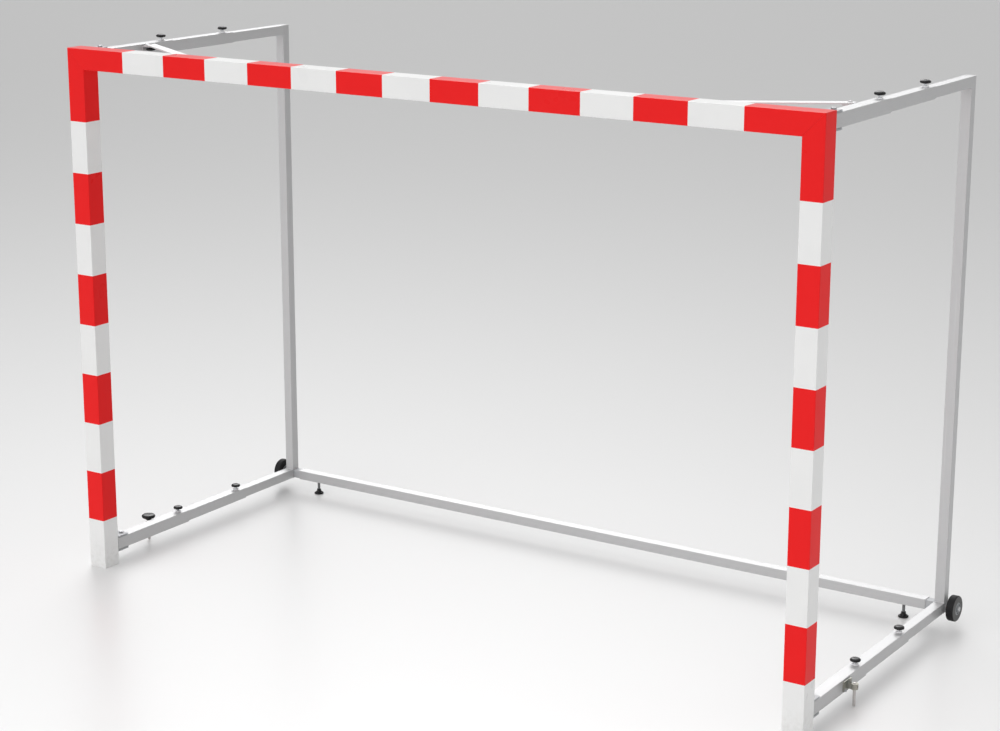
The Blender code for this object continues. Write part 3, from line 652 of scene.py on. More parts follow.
def screw_recipe() -> Recipe:
    """A hexagon head on a washer at each vertex of the mesh that it is given.

    Returns:
        The tree.
    """
    sizes = {"Flats": 0.013, "Head": 0.0055, "Washer": 0.0018, "Turn X": 0.0, "Turn Y": 0.0}
    tree = Recipe("hexagon_screws", sizes)
    flats, head, washer = (tree.size(key) for key in ("Flats", "Head", "Washer"))
    corners = {"Vertices": 6, "Radius": flats / math.sqrt(3.0), "Depth": head}
    prism = tree.node("GeometryNodeMeshCylinder", corners)
    crown = flats * 0.47
    slope = {"Vertices": 36, "Radius Top": crown, "Radius Bottom": crown + head * 1.9, "Depth": head * 1.02}
    cone = tree.lift(tree.node("GeometryNodeMeshCone", slope), head * -0.5)
    hexagon = tree.node("GeometryNodeMeshBoolean", {1: [prism, cone]}, operation="INTERSECT")
    disc = tree.node("GeometryNodeMeshCylinder", {"Vertices": 36, "Radius": flats * 0.62, "Depth": washer})
    stack = [tree.lift(hexagon, washer + head * 0.5), tree.lift(disc, washer * 0.5)]
    pair = tree.node("GeometryNodeJoinGeometry", {0: stack})
    turn = tree.joined(tree.size("Turn X"), tree.size("Turn Y"), 0.0)
    screws = {"Points": tree.enter.outputs["Geometry"], "Instance": pair, "Rotation": turn}
    return tree.close(tree.node("GeometryNodeInstanceOnPoints", screws))


def path_mesh(name: str, points: Iterable[Sequence[float]], closed: bool = True) -> Mesh:
    """A line of edges through some points.

    Args:
        name: the mesh's name.
        points: the points in order.
        closed: whether the last joins the first.

    Returns:
        The mesh.
    """
    points = [tuple(point) for point in points]
    edges = [(i, i + 1) for i in range(len(points) - 1)]
    if closed:
        edges.append((len(points) - 1, 0))
    mesh = bpy.data.meshes.new(name)
    mesh.from_pydata(points, edges, [])
    return mesh


def standing(x: float, y: float, z: float = 0.0) -> Matrix:
    """A placement that isn't turned."""
    return Matrix.Translation((x, y, z))


def sideways(sign: int, place: Sequence[float]) -> Matrix:
    """A placement whose local +Z points along +X, or along -X where the sign is -1."""
    return Matrix.Translation(place) @ Euler((0.0, sign * math.pi / 2, 0.0)).to_matrix().to_4x4()


def ring(radius: float, height: float, place: Matrix, steps: int = 40) -> list[Vector]:
    """Points of a circle round a placement's local Z, at a height on it."""
    turns = [2.0 * math.pi / steps * i for i in range(steps)]
    return [place @ Vector((radius * math.cos(turn), radius * math.sin(turn), height)) for turn in turns]


def square(middle: Sequence[float], reach: float, across: Axis) -> list[Vector]:
    """Corners of a square that stands upright.

    Args:
        middle: its middle.
        reach: from its middle to a side.
        across: its level direction.

    Returns:
        The corners in order.
    """
    corners = []
    for level, rise in ((-1, -1), (1, -1), (1, 1), (-1, 1)):
        corner = list(middle)
        corner[across.value] += level * reach
        corner[Axis.Z.value] += rise * reach
        corners.append(Vector(corner))
    return corners


def spread(radius: float, rows: Iterable[Point]) -> list[Point]:
    """A profile from rows of a share of one radius and a height."""
    return [(radius * share, height) for share, height in rows]


def eased(path: Sequence[Point], radius: float, steps: int = 4, closed: bool = False) -> list[Point]:
    """Round the corners of a profile.

    Args:
        path: the profile's points, as radius and height.
        radius: how far from a corner the rounding starts.
        steps: points in each rounding.
        closed: whether the last point joins the first.

    Returns:
        The rounded profile.
    """
    made: list[Point] = []
    count = len(path)
    for i, corner in enumerate(path):
        if not closed and i in (0, count - 1):
            made.append(corner)
            continue
        here = Vector(corner)
        before, after = Vector(path[i - 1]) - here, Vector(path[(i + 1) % count]) - here
        cut = min(radius, before.length * EASED_SHARE, after.length * EASED_SHARE)
        start, end = here + before.normalized() * cut, here + after.normalized() * cut
        for step in range(steps + 1):
            t = step / steps
            made.append(tuple((1 - t) ** 2 * start + 2 * t * (1 - t) * here + t * t * end))
    return made


class Former:
    """Collects the closed shapes that make one piece; each shape's method gives the former back."""

    def __init__(self) -> None:
        """Start with nothing."""
        self.bm = bmesh.new()

    def skin(self, rings: Sequence[Sequence[Vector]], closed: bool = False) -> Former:
        """Join rings of points with faces.

        Args:
            rings: rings of equal length.
            closed: whether the last ring joins the first; otherwise both get a flat end.

        Returns:
            The former.
        """
        loops = [[self.bm.verts.new(point) for point in points] for points in rings]
        for first, second in zip(loops, loops[1:] + (loops[:1] if closed else [])):
            count = len(first)
            for i in range(count):
                self.bm.faces.new((first[i], first[(i + 1) % count], second[(i + 1) % count], second[i]))
        if not closed:
            self.bm.faces.new(loops[0])
            self.bm.faces.new(loops[-1])
        return self

    def turn(self, profile: Sequence[Point], place: Matrix, steps: int = 48, closed: bool = False) -> Former:
        """Turn a profile of radii and heights round a placement's local Z, in some facets."""
        return self.skin([ring(radius, height, place, steps) for radius, height in profile], closed)

    def hexagon(self, flats: float, low: float, high: float, place: Matrix, both: bool = False) -> Former:
        """A hexagon head or nut with its corners turned off.

        Args:
            flats: width across flats.
            low: lower end on the placement's local Z.
            high: upper end.
            place: the placement.
            both: whether the lower end is chamfered too, as on a nut.

        Returns:
            The former.
        """
        steps = 60
        sixth = math.pi / 3
        half, far = flats / 2, flats * 2
        chamfer, face = half * 0.09, half * 0.97
        rings = []
        limits = ((low, face if both else far), (low + chamfer, far), (high - chamfer, far), (high, face))
        for z, limit in limits:
            points = []
            for i in range(steps):
                angle = 2.0 * math.pi * i / steps
                reach = min(limit, half / math.cos((angle + sixth / 2) % sixth - sixth / 2))
                points.append(place @ Vector((reach * math.cos(angle), reach * math.sin(angle), z)))
            rings.append(points)
        return self.skin(rings)

    def take(self, mesh: Mesh, place: Matrix | None = None, lift: float = 0.0) -> Former:
        """Add a ready mesh and drop it.

        Args:
            mesh: the mesh.
            place: a placement, where it isn't in place already.
            lift: how far up the placement's local Z it goes.

        Returns:
            The former.
        """
        if place:
            mesh.transform(place @ standing(0.0, 0.0, lift))
        self.bm.from_mesh(mesh)
        bpy.data.meshes.remove(mesh)
        return self

    def mesh(self, recalculate: bool = True) -> Mesh:
        """Close the collection.

        Args:
            recalculate: whether the faces are turned outward first.

        Returns:
            The mesh.
        """
        if recalculate:
            bmesh.ops.recalc_face_normals(self.bm, faces=self.bm.faces)
        mesh = bpy.data.meshes.new("piece")
        self.bm.to_mesh(mesh)
        self.bm.free()
        return mesh


@dataclass
class Bench:
    """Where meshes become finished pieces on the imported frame."""

    thread: Recipe = field(default_factory=thread_recipe)
    bead: Recipe = field(default_factory=bead_recipe)
    screw: Recipe = field(default_factory=screw_recipe)
    merged_below: float = 0.00001  # closer points of a CAD node are one
    flat_below: float = 1.0  # degrees; a flatter edge of a CAD node is dissolved
    eased_above: float = 32.0  # degrees; a sharper edge of a CAD node is eased
    eased_sharp: float = 75.0  # degrees; a sharper edge stays sharp after that
    bead_step: float = 0.42  # from one ripple of a bead to the next, as a share of its width
    ridge_share: float = 0.34  # half a ridge's width, as a share of its pitch

    def dress(self, node: str, finish: Finish) -> None:
        """Give a CAD node that stays as it is a better material.

        Args:
            node: the node.
            finish: how it looks.
        """
        for slot in FRAME["nodes"][node].material_slots:
            slot.material = finish.material()
        LOG.info("%s dressed", node)

    def settle(
        self,
        name: str,
        mesh: Mesh,
        finish: Finish,
        body: str,
        replaces: Sequence[str] = (),
        sharp: float = 38.0,
    ) -> None:
        """Place a mesh as a finished piece.

        Args:
            name: the piece's name.
            mesh: its mesh, already in place.
            finish: how it looks.
            body: the CAD body that it rides on.
            replaces: CAD nodes that it stands for.
            sharp: edges above this angle, in degrees, stay sharp.
        """
        mesh.name = name
        mesh.materials.clear()
        mesh.materials.append(finish.material())
        mesh.shade_smooth()
        mesh.set_sharp_from_angle(angle=math.radians(sharp))
        piece = placed(name, mesh)
        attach(piece, body)
        if replaces:
            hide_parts(*replaces)
        LOG.info("%s on %s: %d faces", name, body, len(mesh.polygons))

    def soften(self, node: str, finish: Finish, edge: float) -> None:
        """Stand in for a CAD node with its own shape and eased edges.

        Args:
            node: the node.
            finish: how it looks.
            edge: width of the easing.
        """
        source = FRAME["nodes"][node]
        bm = bmesh.new()
        bm.from_mesh(source.data)
        bmesh.ops.remove_doubles(bm, verts=bm.verts, dist=self.merged_below)
        flat = math.radians(self.flat_below)
        bmesh.ops.dissolve_limit(bm, angle_limit=flat, verts=bm.verts, edges=bm.edges)
        shape = bpy.data.meshes.new(f"{node}_shape")
        bm.to_mesh(shape)
        bm.free()
        shape.shade_smooth()
        holder = placed(f"{node}_shape", shape)
        bevel = holder.modifiers.new("ease", "BEVEL")
        bevel.limit_method = "ANGLE"
        bevel.angle_limit = math.radians(self.eased_above)
        bevel.width = edge
        bevel.segments = 2
        bevel.use_clamp_overlap = True
        holder.modifiers.new("flat", "WEIGHTED_NORMAL").weight = 90
        body, mesh = source["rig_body"], hardened(holder)
        self.settle(f"{node}_finished", mesh, finish, body, (node,), self.eased_sharp)

    def weld(
        self, name: str, paths: Sequence[Sequence[Vector]], finish: Finish, body: str, width: float
    ) -> None:
        """Lay weld beads along closed lines.

        Args:
            name: the piece's name.
            paths: closed lines of points.
            finish: how it looks.
            body: the CAD body that it rides on.
            width: width of a bead.
        """
        former = Former()
        sizes = {"Width": width, "Spacing": width * self.bead_step}
        for path in paths:
            former.take(self.bead.make(path_mesh(name, path), finish, **sizes))
        self.settle(name, former.mesh(False), finish, body)

    def ridge(self, core: float, pitch: float, length: float) -> Mesh:
        """A thread's ridge of one length, round +Z from z = 0."""
        sizes = {"Core": core, "Pitch": pitch, "Length": length, "Ridge": pitch * self.ridge_share}
        return self.thread.make(path_mesh("thread", ((0.0, 0.0, 0.0),), False), ZincPlate(), **sizes)

    def screws(self, name: str, places: Sequence[Triple], turn: Point, sizes: Triple) -> None:
        """Plated hexagon screws with washers, at some places of the front frame.

        Args:
            name: the piece's name.
            places: where each washer rests.
            turn: turns round X and then Y, in radians, that point local +Z outward.
            sizes: width across flats, height of the head and thickness of the washer.
        """
        marks = bpy.data.meshes.new(name)
        marks.from_pydata(places, [], [])
        inputs = dict(zip(("Flats", "Head", "Washer", "Turn_X", "Turn_Y"), (*sizes, *turn)))
        self.settle(name, self.screw.make(marks, ZincPlate(), **inputs), ZincPlate(), "frame")


@dataclass(frozen=True)
class Bolt:
    """A hexagon bolt that points down, with a nut and a bare end of thread below it."""

    shank: float  # diameter
    core: float  # radius below the thread
    flats: float
    head: float
    nut: float
    thread: float  # length below the nut
    pitch: float
    chamfer: float
    taper: float  # the tip's share of the core's radius
    plain: float  # how much shorter the ridge is than the bare end
    start: float = 0.0001  # from the chamfer to the ridge

    def mesh(self, bench: Bench, place: Matrix, seat: float, nut_top: float) -> Mesh:
        """Form the bolt and its nut.

        Args:
            bench: where the thread's ridge is made.
            place: a placement on the bolt's axis.
            seat: height of the head's lower face.
            nut_top: height of the nut's upper face.

        Returns:
            The mesh.
        """
        nut_low = nut_top - self.nut
        tip = nut_low - self.thread
        profile = [(self.core * self.taper, tip), (self.core, tip + self.chamfer), (self.core, nut_top)]
        profile += [(self.shank / 2, nut_top), (self.shank / 2, seat)]
        former = Former().turn(profile, place).hexagon(self.flats, seat, seat + self.head, place)
        former.hexagon(self.flats, nut_low, nut_top, place, True)
        ridge = bench.ridge(self.core, self.pitch, self.thread - self.plain)
        return former.take(ridge, place, tip + self.chamfer + self.start).mesh()


@dataclass
class SubAssembly:
    """A part of the goal that makes its own finished pieces."""

    bench: Bench

    def build(self) -> None:
        """Make the pieces."""
        raise NotImplementedError


@dataclass
class FrontFrame(SubAssembly):
    """Two posts and the crossbar, mitred at the corners, with an angle inside each corner."""

    edge: float = 0.0003
    bar_corner: float = 1.300

    def build(self) -> None:
        """Dress the tubes in their bands and the hidden angles in grey."""
        for side, _ in SIDES:
            self.bench.soften(f"post_{side}", BandedCoat(), self.edge)
            self.bench.dress(f"corner_connector_{side}", GreyMoulded())
        self.bench.soften("crossbar", BandedCoat(Axis.X, corner=self.bar_corner), self.edge)


@dataclass
class HingeSet(SubAssembly):
    """Four forked brackets behind the posts, each with its bolt, nut and two screws."""

    bolt: Bolt = Bolt(
        shank=0.0100, core=0.00455, flats=0.0160, head=0.0060, nut=0.0080,
        thread=0.0040, pitch=0.0015, chamfer=0.0007, taper=0.86, plain=0.0012,
    )
    bolt_y: float = FRONT_Y + 0.140
    lug_outside: float = 0.0320
    screw: Triple = (0.013, 0.0053, 0.0016)  # flats, head and washer
    screw_spread: float = 0.0130
    plate_y: float = FRONT_Y + 0.0863
    edge: float = 0.0009
    finish: Finish = ZincPlate(0.44, 0.44, 0.50)

    def build(self) -> None:
        """Make every bracket with what holds it."""
        seat = self.lug_outside + CLOSE
        for name, x, height in CORNERS:
            self.bench.soften(f"hinge_bracket_{name}", self.finish, self.edge)
            mesh = self.bolt.mesh(self.bench, standing(x, self.bolt_y, height), seat, -seat)
            self.bench.settle(f"hinge_pin_{name}", mesh, ZincPlate(), "frame", (f"hinge_bolt_{name}",))
            places = [(x + step * self.screw_spread, self.plate_y, height) for step in (-1, 1)]
            self.bench.screws(f"bracket_screws_{name}", places, REARWARD, self.screw)


@dataclass
class SideRails(SubAssembly):
    """Four rails of three tubes each, with their weld beads and a plug in each front end."""

    half: Triple = (0.0250, 0.0225, 0.0200)  # of the front, middle and rear tube
    knob_y: Point = (FRONT_Y + 0.490, FRONT_Y + 0.866)
    level_tones_with_painted_shade: tuple[float, ...] = (0.575, 0.575, 0.535, 0.535)  # in the order of the corners; the bottom rails' darker tone is painted shade, a shaded copy of the same aluminium
    edge: float = 0.0004
    crown: float = 0.0004  # above a tube's top, from where its boss is painted paler and less metallic: painted light
    boss: float = 0.0220
    boss_bead: float = 0.0024
    # painted light: the welds round the bosses are a much paler zinc than the other welds, so they read as
    # lit like the tube's top
    bead_finish: Finish = ZincPlate(0.85, 0.45, 0.30)
    rear_end: float = FRONT_Y + 1.2384
    rear_bead: float = 0.0030
    rear_inset: float = 0.0006
    front_end: float = FRONT_Y + 0.0963
    plug_half: float = 0.0229
    plug_length: float = 0.0090
    plug_edge: float = 0.0010

    def build(self) -> None:
        """Dress the tubes, lay their welds and plug their front ends."""
        # the bottom rails' tubes get a darker tone than the top ones: painted shade
        for (name, x, height), tone in zip(CORNERS, self.level_tones_with_painted_shade):
            tubes = [DrawnAluminium(Axis.Y, tone, height + half + self.crown) for half in self.half]
            for part, tube in zip(("front", "middle", "rear"), tubes):
                self.bench.soften(f"rail_{part}_{name}", tube, self.edge)
            bodies = ("frame", f"middle_tube_{name}")
            for part, body, half, y in zip(("front", "middle"), bodies, self.half, self.knob_y):
                line = ring(self.boss / 2 + BEAD_GAP, height + half + BEAD_LIFT, standing(x, y))
                self.bench.weld(f"boss_weld_{part}_{name}", [line], self.bead_finish, body, self.boss_bead)
            collar = square((x, self.rear_end, height), self.half[2] - self.rear_inset, Axis.X)
            self.bench.weld(f"rear_weld_{name}", [collar], tubes[2], "rear_frame", self.rear_bead)
            self.plug(name, x, height)

    def plug(self, name: str, x: float, height: float) -> None:
        """The plastic plug in the front end of a front tube.

        Args:
            name: level and side.
            x: where the rail's middle is across the goal.
            height: height of the rail's middle.
        """
        rings = [
            square((x, self.front_end + y, height), self.plug_half - inset, Axis.X)
            for y, inset in ((0.0, self.plug_edge), (self.plug_edge, 0.0), (self.plug_length, 0.0))
        ]
        self.bench.settle(f"end_plug_{name}", Former().skin(rings).mesh(), GreyMoulded(), "frame")


@dataclass
class ClampKnobs(SubAssembly):
    """Eight black mushroom knobs on the rails, each with a plated screw."""

    lift: float = 0.0120
    disc: float = 0.0390
    height: float = 0.0130
    shoulder: float = 0.0010
    dimple: float = 0.0007
    ease: float = 0.0030
    screw: float = 0.0100
    pitch: float = 0.0015
    depth: float = 0.30  # of the thread, as a share of its pitch
    tip: float = -0.0022
    plain: float = 0.0018
    sunk: float = 0.0006
    collar: float = 0.0014
    collar_sunk: float = 0.0004
    collar_ease: float = 0.0003

    def build(self) -> None:
        """Make the knob and the screw at every place."""
        for name, x, height in CORNERS:
            for part, half, y in zip(("front", "middle"), SideRails.half, SideRails.knob_y):
                self.knob(f"{part}_{name}", standing(x, y, height + half))

    def knob(self, name: str, place: Matrix) -> None:
        """One knob and its screw.

        Args:
            name: tube, level and side.
            place: the face of the tube below the knob.
        """
        body, height = f"clamp_knob_{name}", self.height
        rim, low, top = self.disc / 2, self.lift, self.lift + height
        rows = [(0.36, low), (0.62, low), (0.93, low + height * 0.16), (1.0, low + height * 0.42)]
        rows += [(0.95, low + height * 0.68), (0.72, top - self.shoulder), (0.40, top), (0.30, top)]
        rows += [(0.28, top - self.dimple), (0.10, top - self.dimple)]
        cap = Former().turn(eased(spread(rim, rows), self.ease), place, CAP_FACETS)
        self.bench.settle(f"knob_cap_{name}", cap.mesh(), Moulded(), body, (body,), CAP_SHARP)
        core = self.screw / 2 - self.pitch * self.depth
        under, inside = low - self.collar, low + self.collar_sunk
        collar = spread(rim, [(0.26, under), (0.34, under), (0.40, inside), (0.26, inside)])
        screw = Former().turn([(core, self.tip), (core, low + self.sunk)], place)
        screw.turn(eased(collar, self.collar_ease), place)
        screw.take(self.bench.ridge(core, self.pitch, low - self.plain), place)
        self.bench.settle(f"knob_screw_{name}", screw.mesh(), ZincPlate(0.90), body)


@dataclass
class CornerBraces(SubAssembly):
    """A flat brace over each rear corner of the crossbar, with its lug, bolt and knob."""

    pivot: Point = (1.045, FRONT_Y + 0.105)
    knob: Point = (1.490, FRONT_Y + 0.372)
    top: float = 2.064
    thickness: float = 0.005
    edge: float = 0.0022
    finish: Finish = DrawnAluminium(Axis.X, 0.76, metal=0.25)
    plate: float = 0.0045
    lug_height: float = 0.040
    lug_edge: float = 0.0006
    bolt: Bolt = Bolt(
        shank=0.008, core=0.0036, flats=0.013, head=0.0055, nut=0.0065,
        thread=0.002, pitch=0.00125, chamfer=0.0005, taper=0.85, plain=0.0008,
    )
    screw: Triple = (0.0125, 0.0045, 0.0012)  # flats, head and washer
    screw_face: float = FRONT_Y + 0.0848
    disc: float = 0.038
    disc_height: float = 0.012
    dimple: float = 0.0006
    ease: float = 0.0022
    hub: float = 0.014
    hub_height: float = 0.004
    sunk: float = 0.001
    chamfer: Point = (0.0004, 0.0001)  # of the knob's screw, below the bolt's top

    def build(self) -> None:
        """Make both braces with what holds them."""
        lug_top = self.top - self.thickness - CLOSE
        lug_low = lug_top - self.plate - CLOSE
        for side, sign in SIDES:
            self.bench.soften(f"brace_{side}", self.finish, self.edge)
            self.bench.soften(f"brace_lug_{side}", self.finish, self.lug_edge)
            x, y = sign * self.pivot[0], self.pivot[1]
            mesh = self.bolt.mesh(self.bench, standing(x, y), self.top + CLOSE, lug_low)
            self.bench.settle(f"brace_pin_{side}", mesh, ZincPlate(), "frame", (f"brace_bolt_{side}",))
            self.knob_piece(side, standing(sign * self.knob[0], self.knob[1]), lug_low)
            place = (x, self.screw_face, lug_top - self.lug_height / 2)
            self.bench.screws(f"lug_screw_{side}", [place], REARWARD, self.screw)

    def knob_piece(self, side: str, place: Matrix, hub_top: float) -> None:
        """The knob below the brace's outer end and its screw.

        Args:
            side: left or right.
            place: a placement on the knob's axis.
            hub_top: height of the hub's top face.
        """
        body, height = f"brace_knob_{side}", self.disc_height
        disc_top = hub_top - self.hub_height
        low = disc_top - height
        rows = [(0.10, low + self.dimple), (0.28, low + self.dimple), (0.30, low), (0.40, low)]
        rows += [(0.75, low + height * 0.10), (0.95, low + height * 0.30)]
        rows += [(1.0, low + height * 0.55), (0.93, low + height * 0.82)]
        profile = spread(self.disc / 2, rows) + [(self.hub / 2, disc_top), (self.hub / 2, hub_top)]
        profile.append((self.bolt.shank / 2, hub_top))
        cap = Former().turn(eased(profile, self.ease), place, CAP_FACETS)
        self.bench.settle(f"brace_knob_cap_{side}", cap.mesh(), Moulded(), body, (body,), CAP_SHARP)
        core = self.bolt.core
        low, high = (self.top + self.bolt.head - step for step in self.chamfer)
        profile = [(core, hub_top - self.sunk), (core, low), (core * self.bolt.taper, high)]
        screw = Former().turn(profile, place)
        self.bench.settle(f"brace_knob_screw_{side}", screw.mesh(), ZincPlate(0.90, 0.45, 0.30), body)


@dataclass
class RearFrame(SubAssembly):
    """The two rear uprights, the stubs and the ground bar."""

    half: float = 0.0200
    boss: float = 0.022
    stub_half: float = 0.0172
    bead: float = 0.0026
    bead_finish: Finish = ZincPlate(0.42)
    upright_edge: float = 0.0005
    upright_finish: Finish = DrawnAluminium(Axis.Z, metal=0.25)
    edge: float = 0.0004
    stub_finish: Finish = ZincPlate(0.48, 0.45, 0.20)
    bar_finish: Finish = DrawnAluminium(Axis.X, 0.528)

    def build(self) -> None:
        """Dress the tubes and lay the welds of the axle bosses and stubs."""
        reach = self.half + BEAD_LIFT
        for side, sign in SIDES:
            self.bench.soften(f"rear_upright_{side}", self.upright_finish, self.upright_edge)
            self.bench.soften(f"ground_bar_stub_{side}", self.stub_finish, self.edge)
            seat = sideways(sign, (sign * (RAIL_X + reach), REAR_Y, AXLE_HEIGHT))
            stub = square((sign * (RAIL_X - reach), REAR_Y, LOW_RAIL), self.stub_half, Axis.Y)
            lines = [ring(self.boss / 2 + BEAD_GAP, 0.0, seat), stub]
            self.bench.weld(f"upright_welds_{side}", lines, self.bead_finish, "rear_frame", self.bead)
        self.bench.soften("ground_bar", self.bar_finish, self.edge)


@dataclass
class LevellingFeet(SubAssembly):
    """Two black pads on threaded studs under the ground bar."""

    x: float = 1.392
    pad: float = 0.040
    cone: float = 0.021
    cone_top: float = 0.015
    neck: float = 0.018
    neck_top: float = 0.022
    ease: float = 0.0016
    stud: float = 0.012
    stud_top: float = 0.070
    sunk: float = 0.002
    chamfer: float = 0.0008
    taper: float = 0.86  # the tip's share of the core's radius
    bar_underside: float = 0.055
    overlap: float = 0.001  # of the thread and the bar
    pitch: float = 0.00175
    depth: float = 0.34  # of the thread, as a share of its pitch

    def build(self) -> None:
        """Make a pad and a stud at each side."""
        cone, neck, stud, top = self.cone / 2, self.neck / 2, self.stud / 2, self.neck_top
        rows = [(0.20, 0.0), (0.90, 0.0), (1.0, 0.0018), (1.0, 0.0050), (0.93, 0.0066), (0.76, 0.0082)]
        profile = spread(self.pad / 2, rows) + [(cone * 1.10, self.cone_top - 0.004), (cone, self.cone_top)]
        profile += [(neck, self.cone_top), (neck, top), (stud, top)]
        core = stud - self.pitch * self.depth
        length = self.bar_underside - top + self.overlap
        rod = [(core, top - self.sunk), (core, self.stud_top - self.chamfer)]
        rod.append((core * self.taper, self.stud_top))
        for side, sign in SIDES:
            body, place = f"foot_{side}", standing(sign * self.x, REAR_Y)
            pad = Former().turn(eased(profile, self.ease), place, CAP_FACETS)
            self.bench.settle(f"foot_pad_{side}", pad.mesh(), Moulded(), body, (body,), CAP_SHARP)
            stud_piece = Former().turn(rod, place)
            stud_piece.take(self.bench.ridge(core, self.pitch, length), place, top)
            self.bench.settle(f"foot_stud_{side}", stud_piece.mesh(), ZincPlate(0.24), body)


@dataclass
class TransportWheels(SubAssembly):
    """A solid tyre on a grey hub on a shouldered bolt at each rear corner."""

    x: float = 1.5915
    radius: float = 0.049
    half: float = 0.0155
    shoulder: float = 0.006
    shoulder_steps: int = 8
    facets: int = 96
    sharp: float = 60.0
    hub: float = 0.024
    wall: float = 0.004
    boss: float = 0.011
    ease: float = 0.0008
    axle: float = 0.012
    chamfer: float = 0.0006
    flats: float = 0.018
    head: float = 0.0065
    inner: float = 0.0355

    def build(self) -> None:
        """Make both wheels."""
        radius, seat = self.axle / 2, self.half + CLOSE
        axle = [(radius - self.chamfer, -self.inner), (radius, self.chamfer - self.inner), (radius, seat)]
        outlines = (
            ("tyre", "tyre_solid", self.tyre(), Rubber()),
            ("hub", "hub_moulded", self.hub_outline(), GreyMoulded()),
        )
        for side, sign in SIDES:
            place = sideways(sign, (sign * self.x, REAR_Y, AXLE_HEIGHT))
            for node, name, outline, finish in outlines:
                mesh = Former().turn(outline, place, self.facets, True).mesh()
                replaces = (f"{node}_{side}",)
                self.bench.settle(f"{name}_{side}", mesh, finish, f"wheel_{side}", replaces, self.sharp)
            mesh = Former().turn(axle, place).hexagon(self.flats, seat, seat + self.head, place).mesh()
            self.bench.settle(f"wheel_bolt_{side}", mesh, ZincPlate(), "rear_frame", (f"wheel_axle_{side}",))

    def tyre(self) -> list[Point]:
        """Outline of a tyre with a wide rounded tread.

        Returns:
            The outline, as radius and place along the axle.
        """
        inner, shoulder, steps = self.hub + CLOSE, self.shoulder, self.shoulder_steps
        outline = [(inner, -self.half), (self.radius - shoulder, -self.half)]
        for end in (-1, 1):
            for step in range(1, steps) if end < 0 else range(steps - 1, 0, -1):
                angle = math.pi / 2 * step / steps
                reach = self.radius - shoulder * (1 - math.sin(angle))
                outline.append((reach, end * (self.half - shoulder * (1 - math.cos(angle)))))
        return outline + [(self.radius - shoulder, self.half), (inner, self.half)]

    def hub_outline(self) -> list[Point]:
        """Outline of a hub: rim, recessed disc and boss, moulded in one.

        Returns:
            The outline, as radius and place along the axle.
        """
        bore, rim, floor, full = self.axle / 2 + CLOSE, self.hub - self.wall, self.half - self.wall, self.half
        outline = [(bore, -full), (self.boss, -full), (self.boss, -floor)]
        outline += [(rim, -floor), (rim, -full), (self.hub, -full)]
        outline += [(radius, -z) for radius, z in reversed(outline)]
        return eased(outline, self.ease, 3, True)


@dataclass
class FloorAnchors(SubAssembly):
    """A bracket with a bush outside each low rail, and the rod that goes down into the floor."""

    x: float = 1.595
    y: float = FRONT_Y + 0.367
    edge: float = 0.0006
    plate_face: float = 1.5703
    drop: Point = (0.005, 0.0)  # how far each bracket hangs below its rail's middle
    screw: Triple = (0.010, 0.0040, 0.0010)  # flats, head and washer
    screw_spread: Point = (0.021, 0.013)
    rod: float = 0.011
    rod_low: float = 0.002
    rod_high: Point = (0.102, 0.088)
    rod_ease: float = 0.0005
    wheel: float = 0.056
    wheel_height: float = 0.015
    wheel_facets: int = 72
    wheel_ease: float = 0.0022
    wheel_hub: float = 0.024
    hub_low: float = 0.0885
    hub_height: float = 0.009
    dimple: float = 0.0008
    bush: float = 0.026
    set_screw: float = 0.006
    set_screw_sunk: float = 0.0006
    set_screw_facets: int = 36

    def build(self) -> None:
        """Make both anchors."""
        for (side, sign), drop, high in zip(SIDES, self.drop, self.rod_high):
            self.bench.soften(f"anchor_bracket_{side}", YellowZinc(), self.edge)
            along, rise = self.screw_spread
            middle = LOW_RAIL - drop
            places = [(sign * self.plate_face, self.y + end * along, middle + end * rise) for end in (-1, 1)]
            self.bench.screws(f"anchor_screws_{side}", places, (0.0, sign * math.pi / 2), self.screw)
            self.rod_piece(side, sign, high)
        self.hand_wheel()
        self.set_screw_piece()

    def rod_piece(self, side: str, sign: int, high: float) -> None:
        """One turned rod with chamfered ends.

        Args:
            side: left or right.
            sign: -1 or 1.
            high: height of the rod's upper end.
        """
        radius, tip, low = self.rod / 2, self.rod / 3, self.rod_low
        chamfer = radius - tip
        profile = [(tip * 0.4, low), (tip, low), (radius, low + chamfer)]
        profile += [(radius, high - chamfer), (tip, high), (tip * 0.4, high)]
        rod = Former().turn(eased(profile, self.rod_ease), standing(sign * self.x, self.y))
        node = f"anchor_rod_{side}"
        self.bench.settle(f"{node}_turned", rod.mesh(), TurnedSteel(), f"anchor_{side}", (node,))

    def hand_wheel(self) -> None:
        """The black hand wheel on the left rod."""
        low, height, bore = self.hub_low + self.hub_height, self.wheel_height, self.rod / 2 + CLOSE
        top = low + height
        profile = [(bore, self.rod_high[0] + CLOSE), (bore, self.hub_low), (self.wheel_hub / 2, self.hub_low)]
        profile.append((self.wheel_hub * 0.65, low))
        rows = [(0.90, low), (1.0, low + height * 0.30), (1.0, low + height * 0.65)]
        rows += [(0.85, low + height * 0.92), (0.45, top), (0.30, top)]
        rows += [(0.28, top - self.dimple), (0.08, top - self.dimple)]
        profile = eased(profile + spread(self.wheel / 2, rows), self.wheel_ease)
        mesh = Former().turn(profile, standing(-self.x, self.y), self.wheel_facets).mesh()
        replaces = ("anchor_knob_left",)
        self.bench.settle("anchor_hand_wheel", mesh, Moulded(), "anchor_left", replaces, CAP_SHARP)

    def set_screw_piece(self) -> None:
        """The socket screw in the right bush, just below its surface."""
        place = sideways(1, (self.x + self.bush / 2 - self.set_screw_sunk, self.y, LOW_RAIL))
        rows = [(0.5, -0.0042), (1.0, -0.0040), (1.0, -0.0004), (0.86, 0.0), (0.55, 0.0)]
        rows += [(0.50, -0.0022), (0.05, -0.0026)]
        screw = Former().turn(spread(self.set_screw / 2, rows), place, self.set_screw_facets)
        self.bench.settle("anchor_set_screw", screw.mesh(), Moulded(gloss=0.26), "frame")


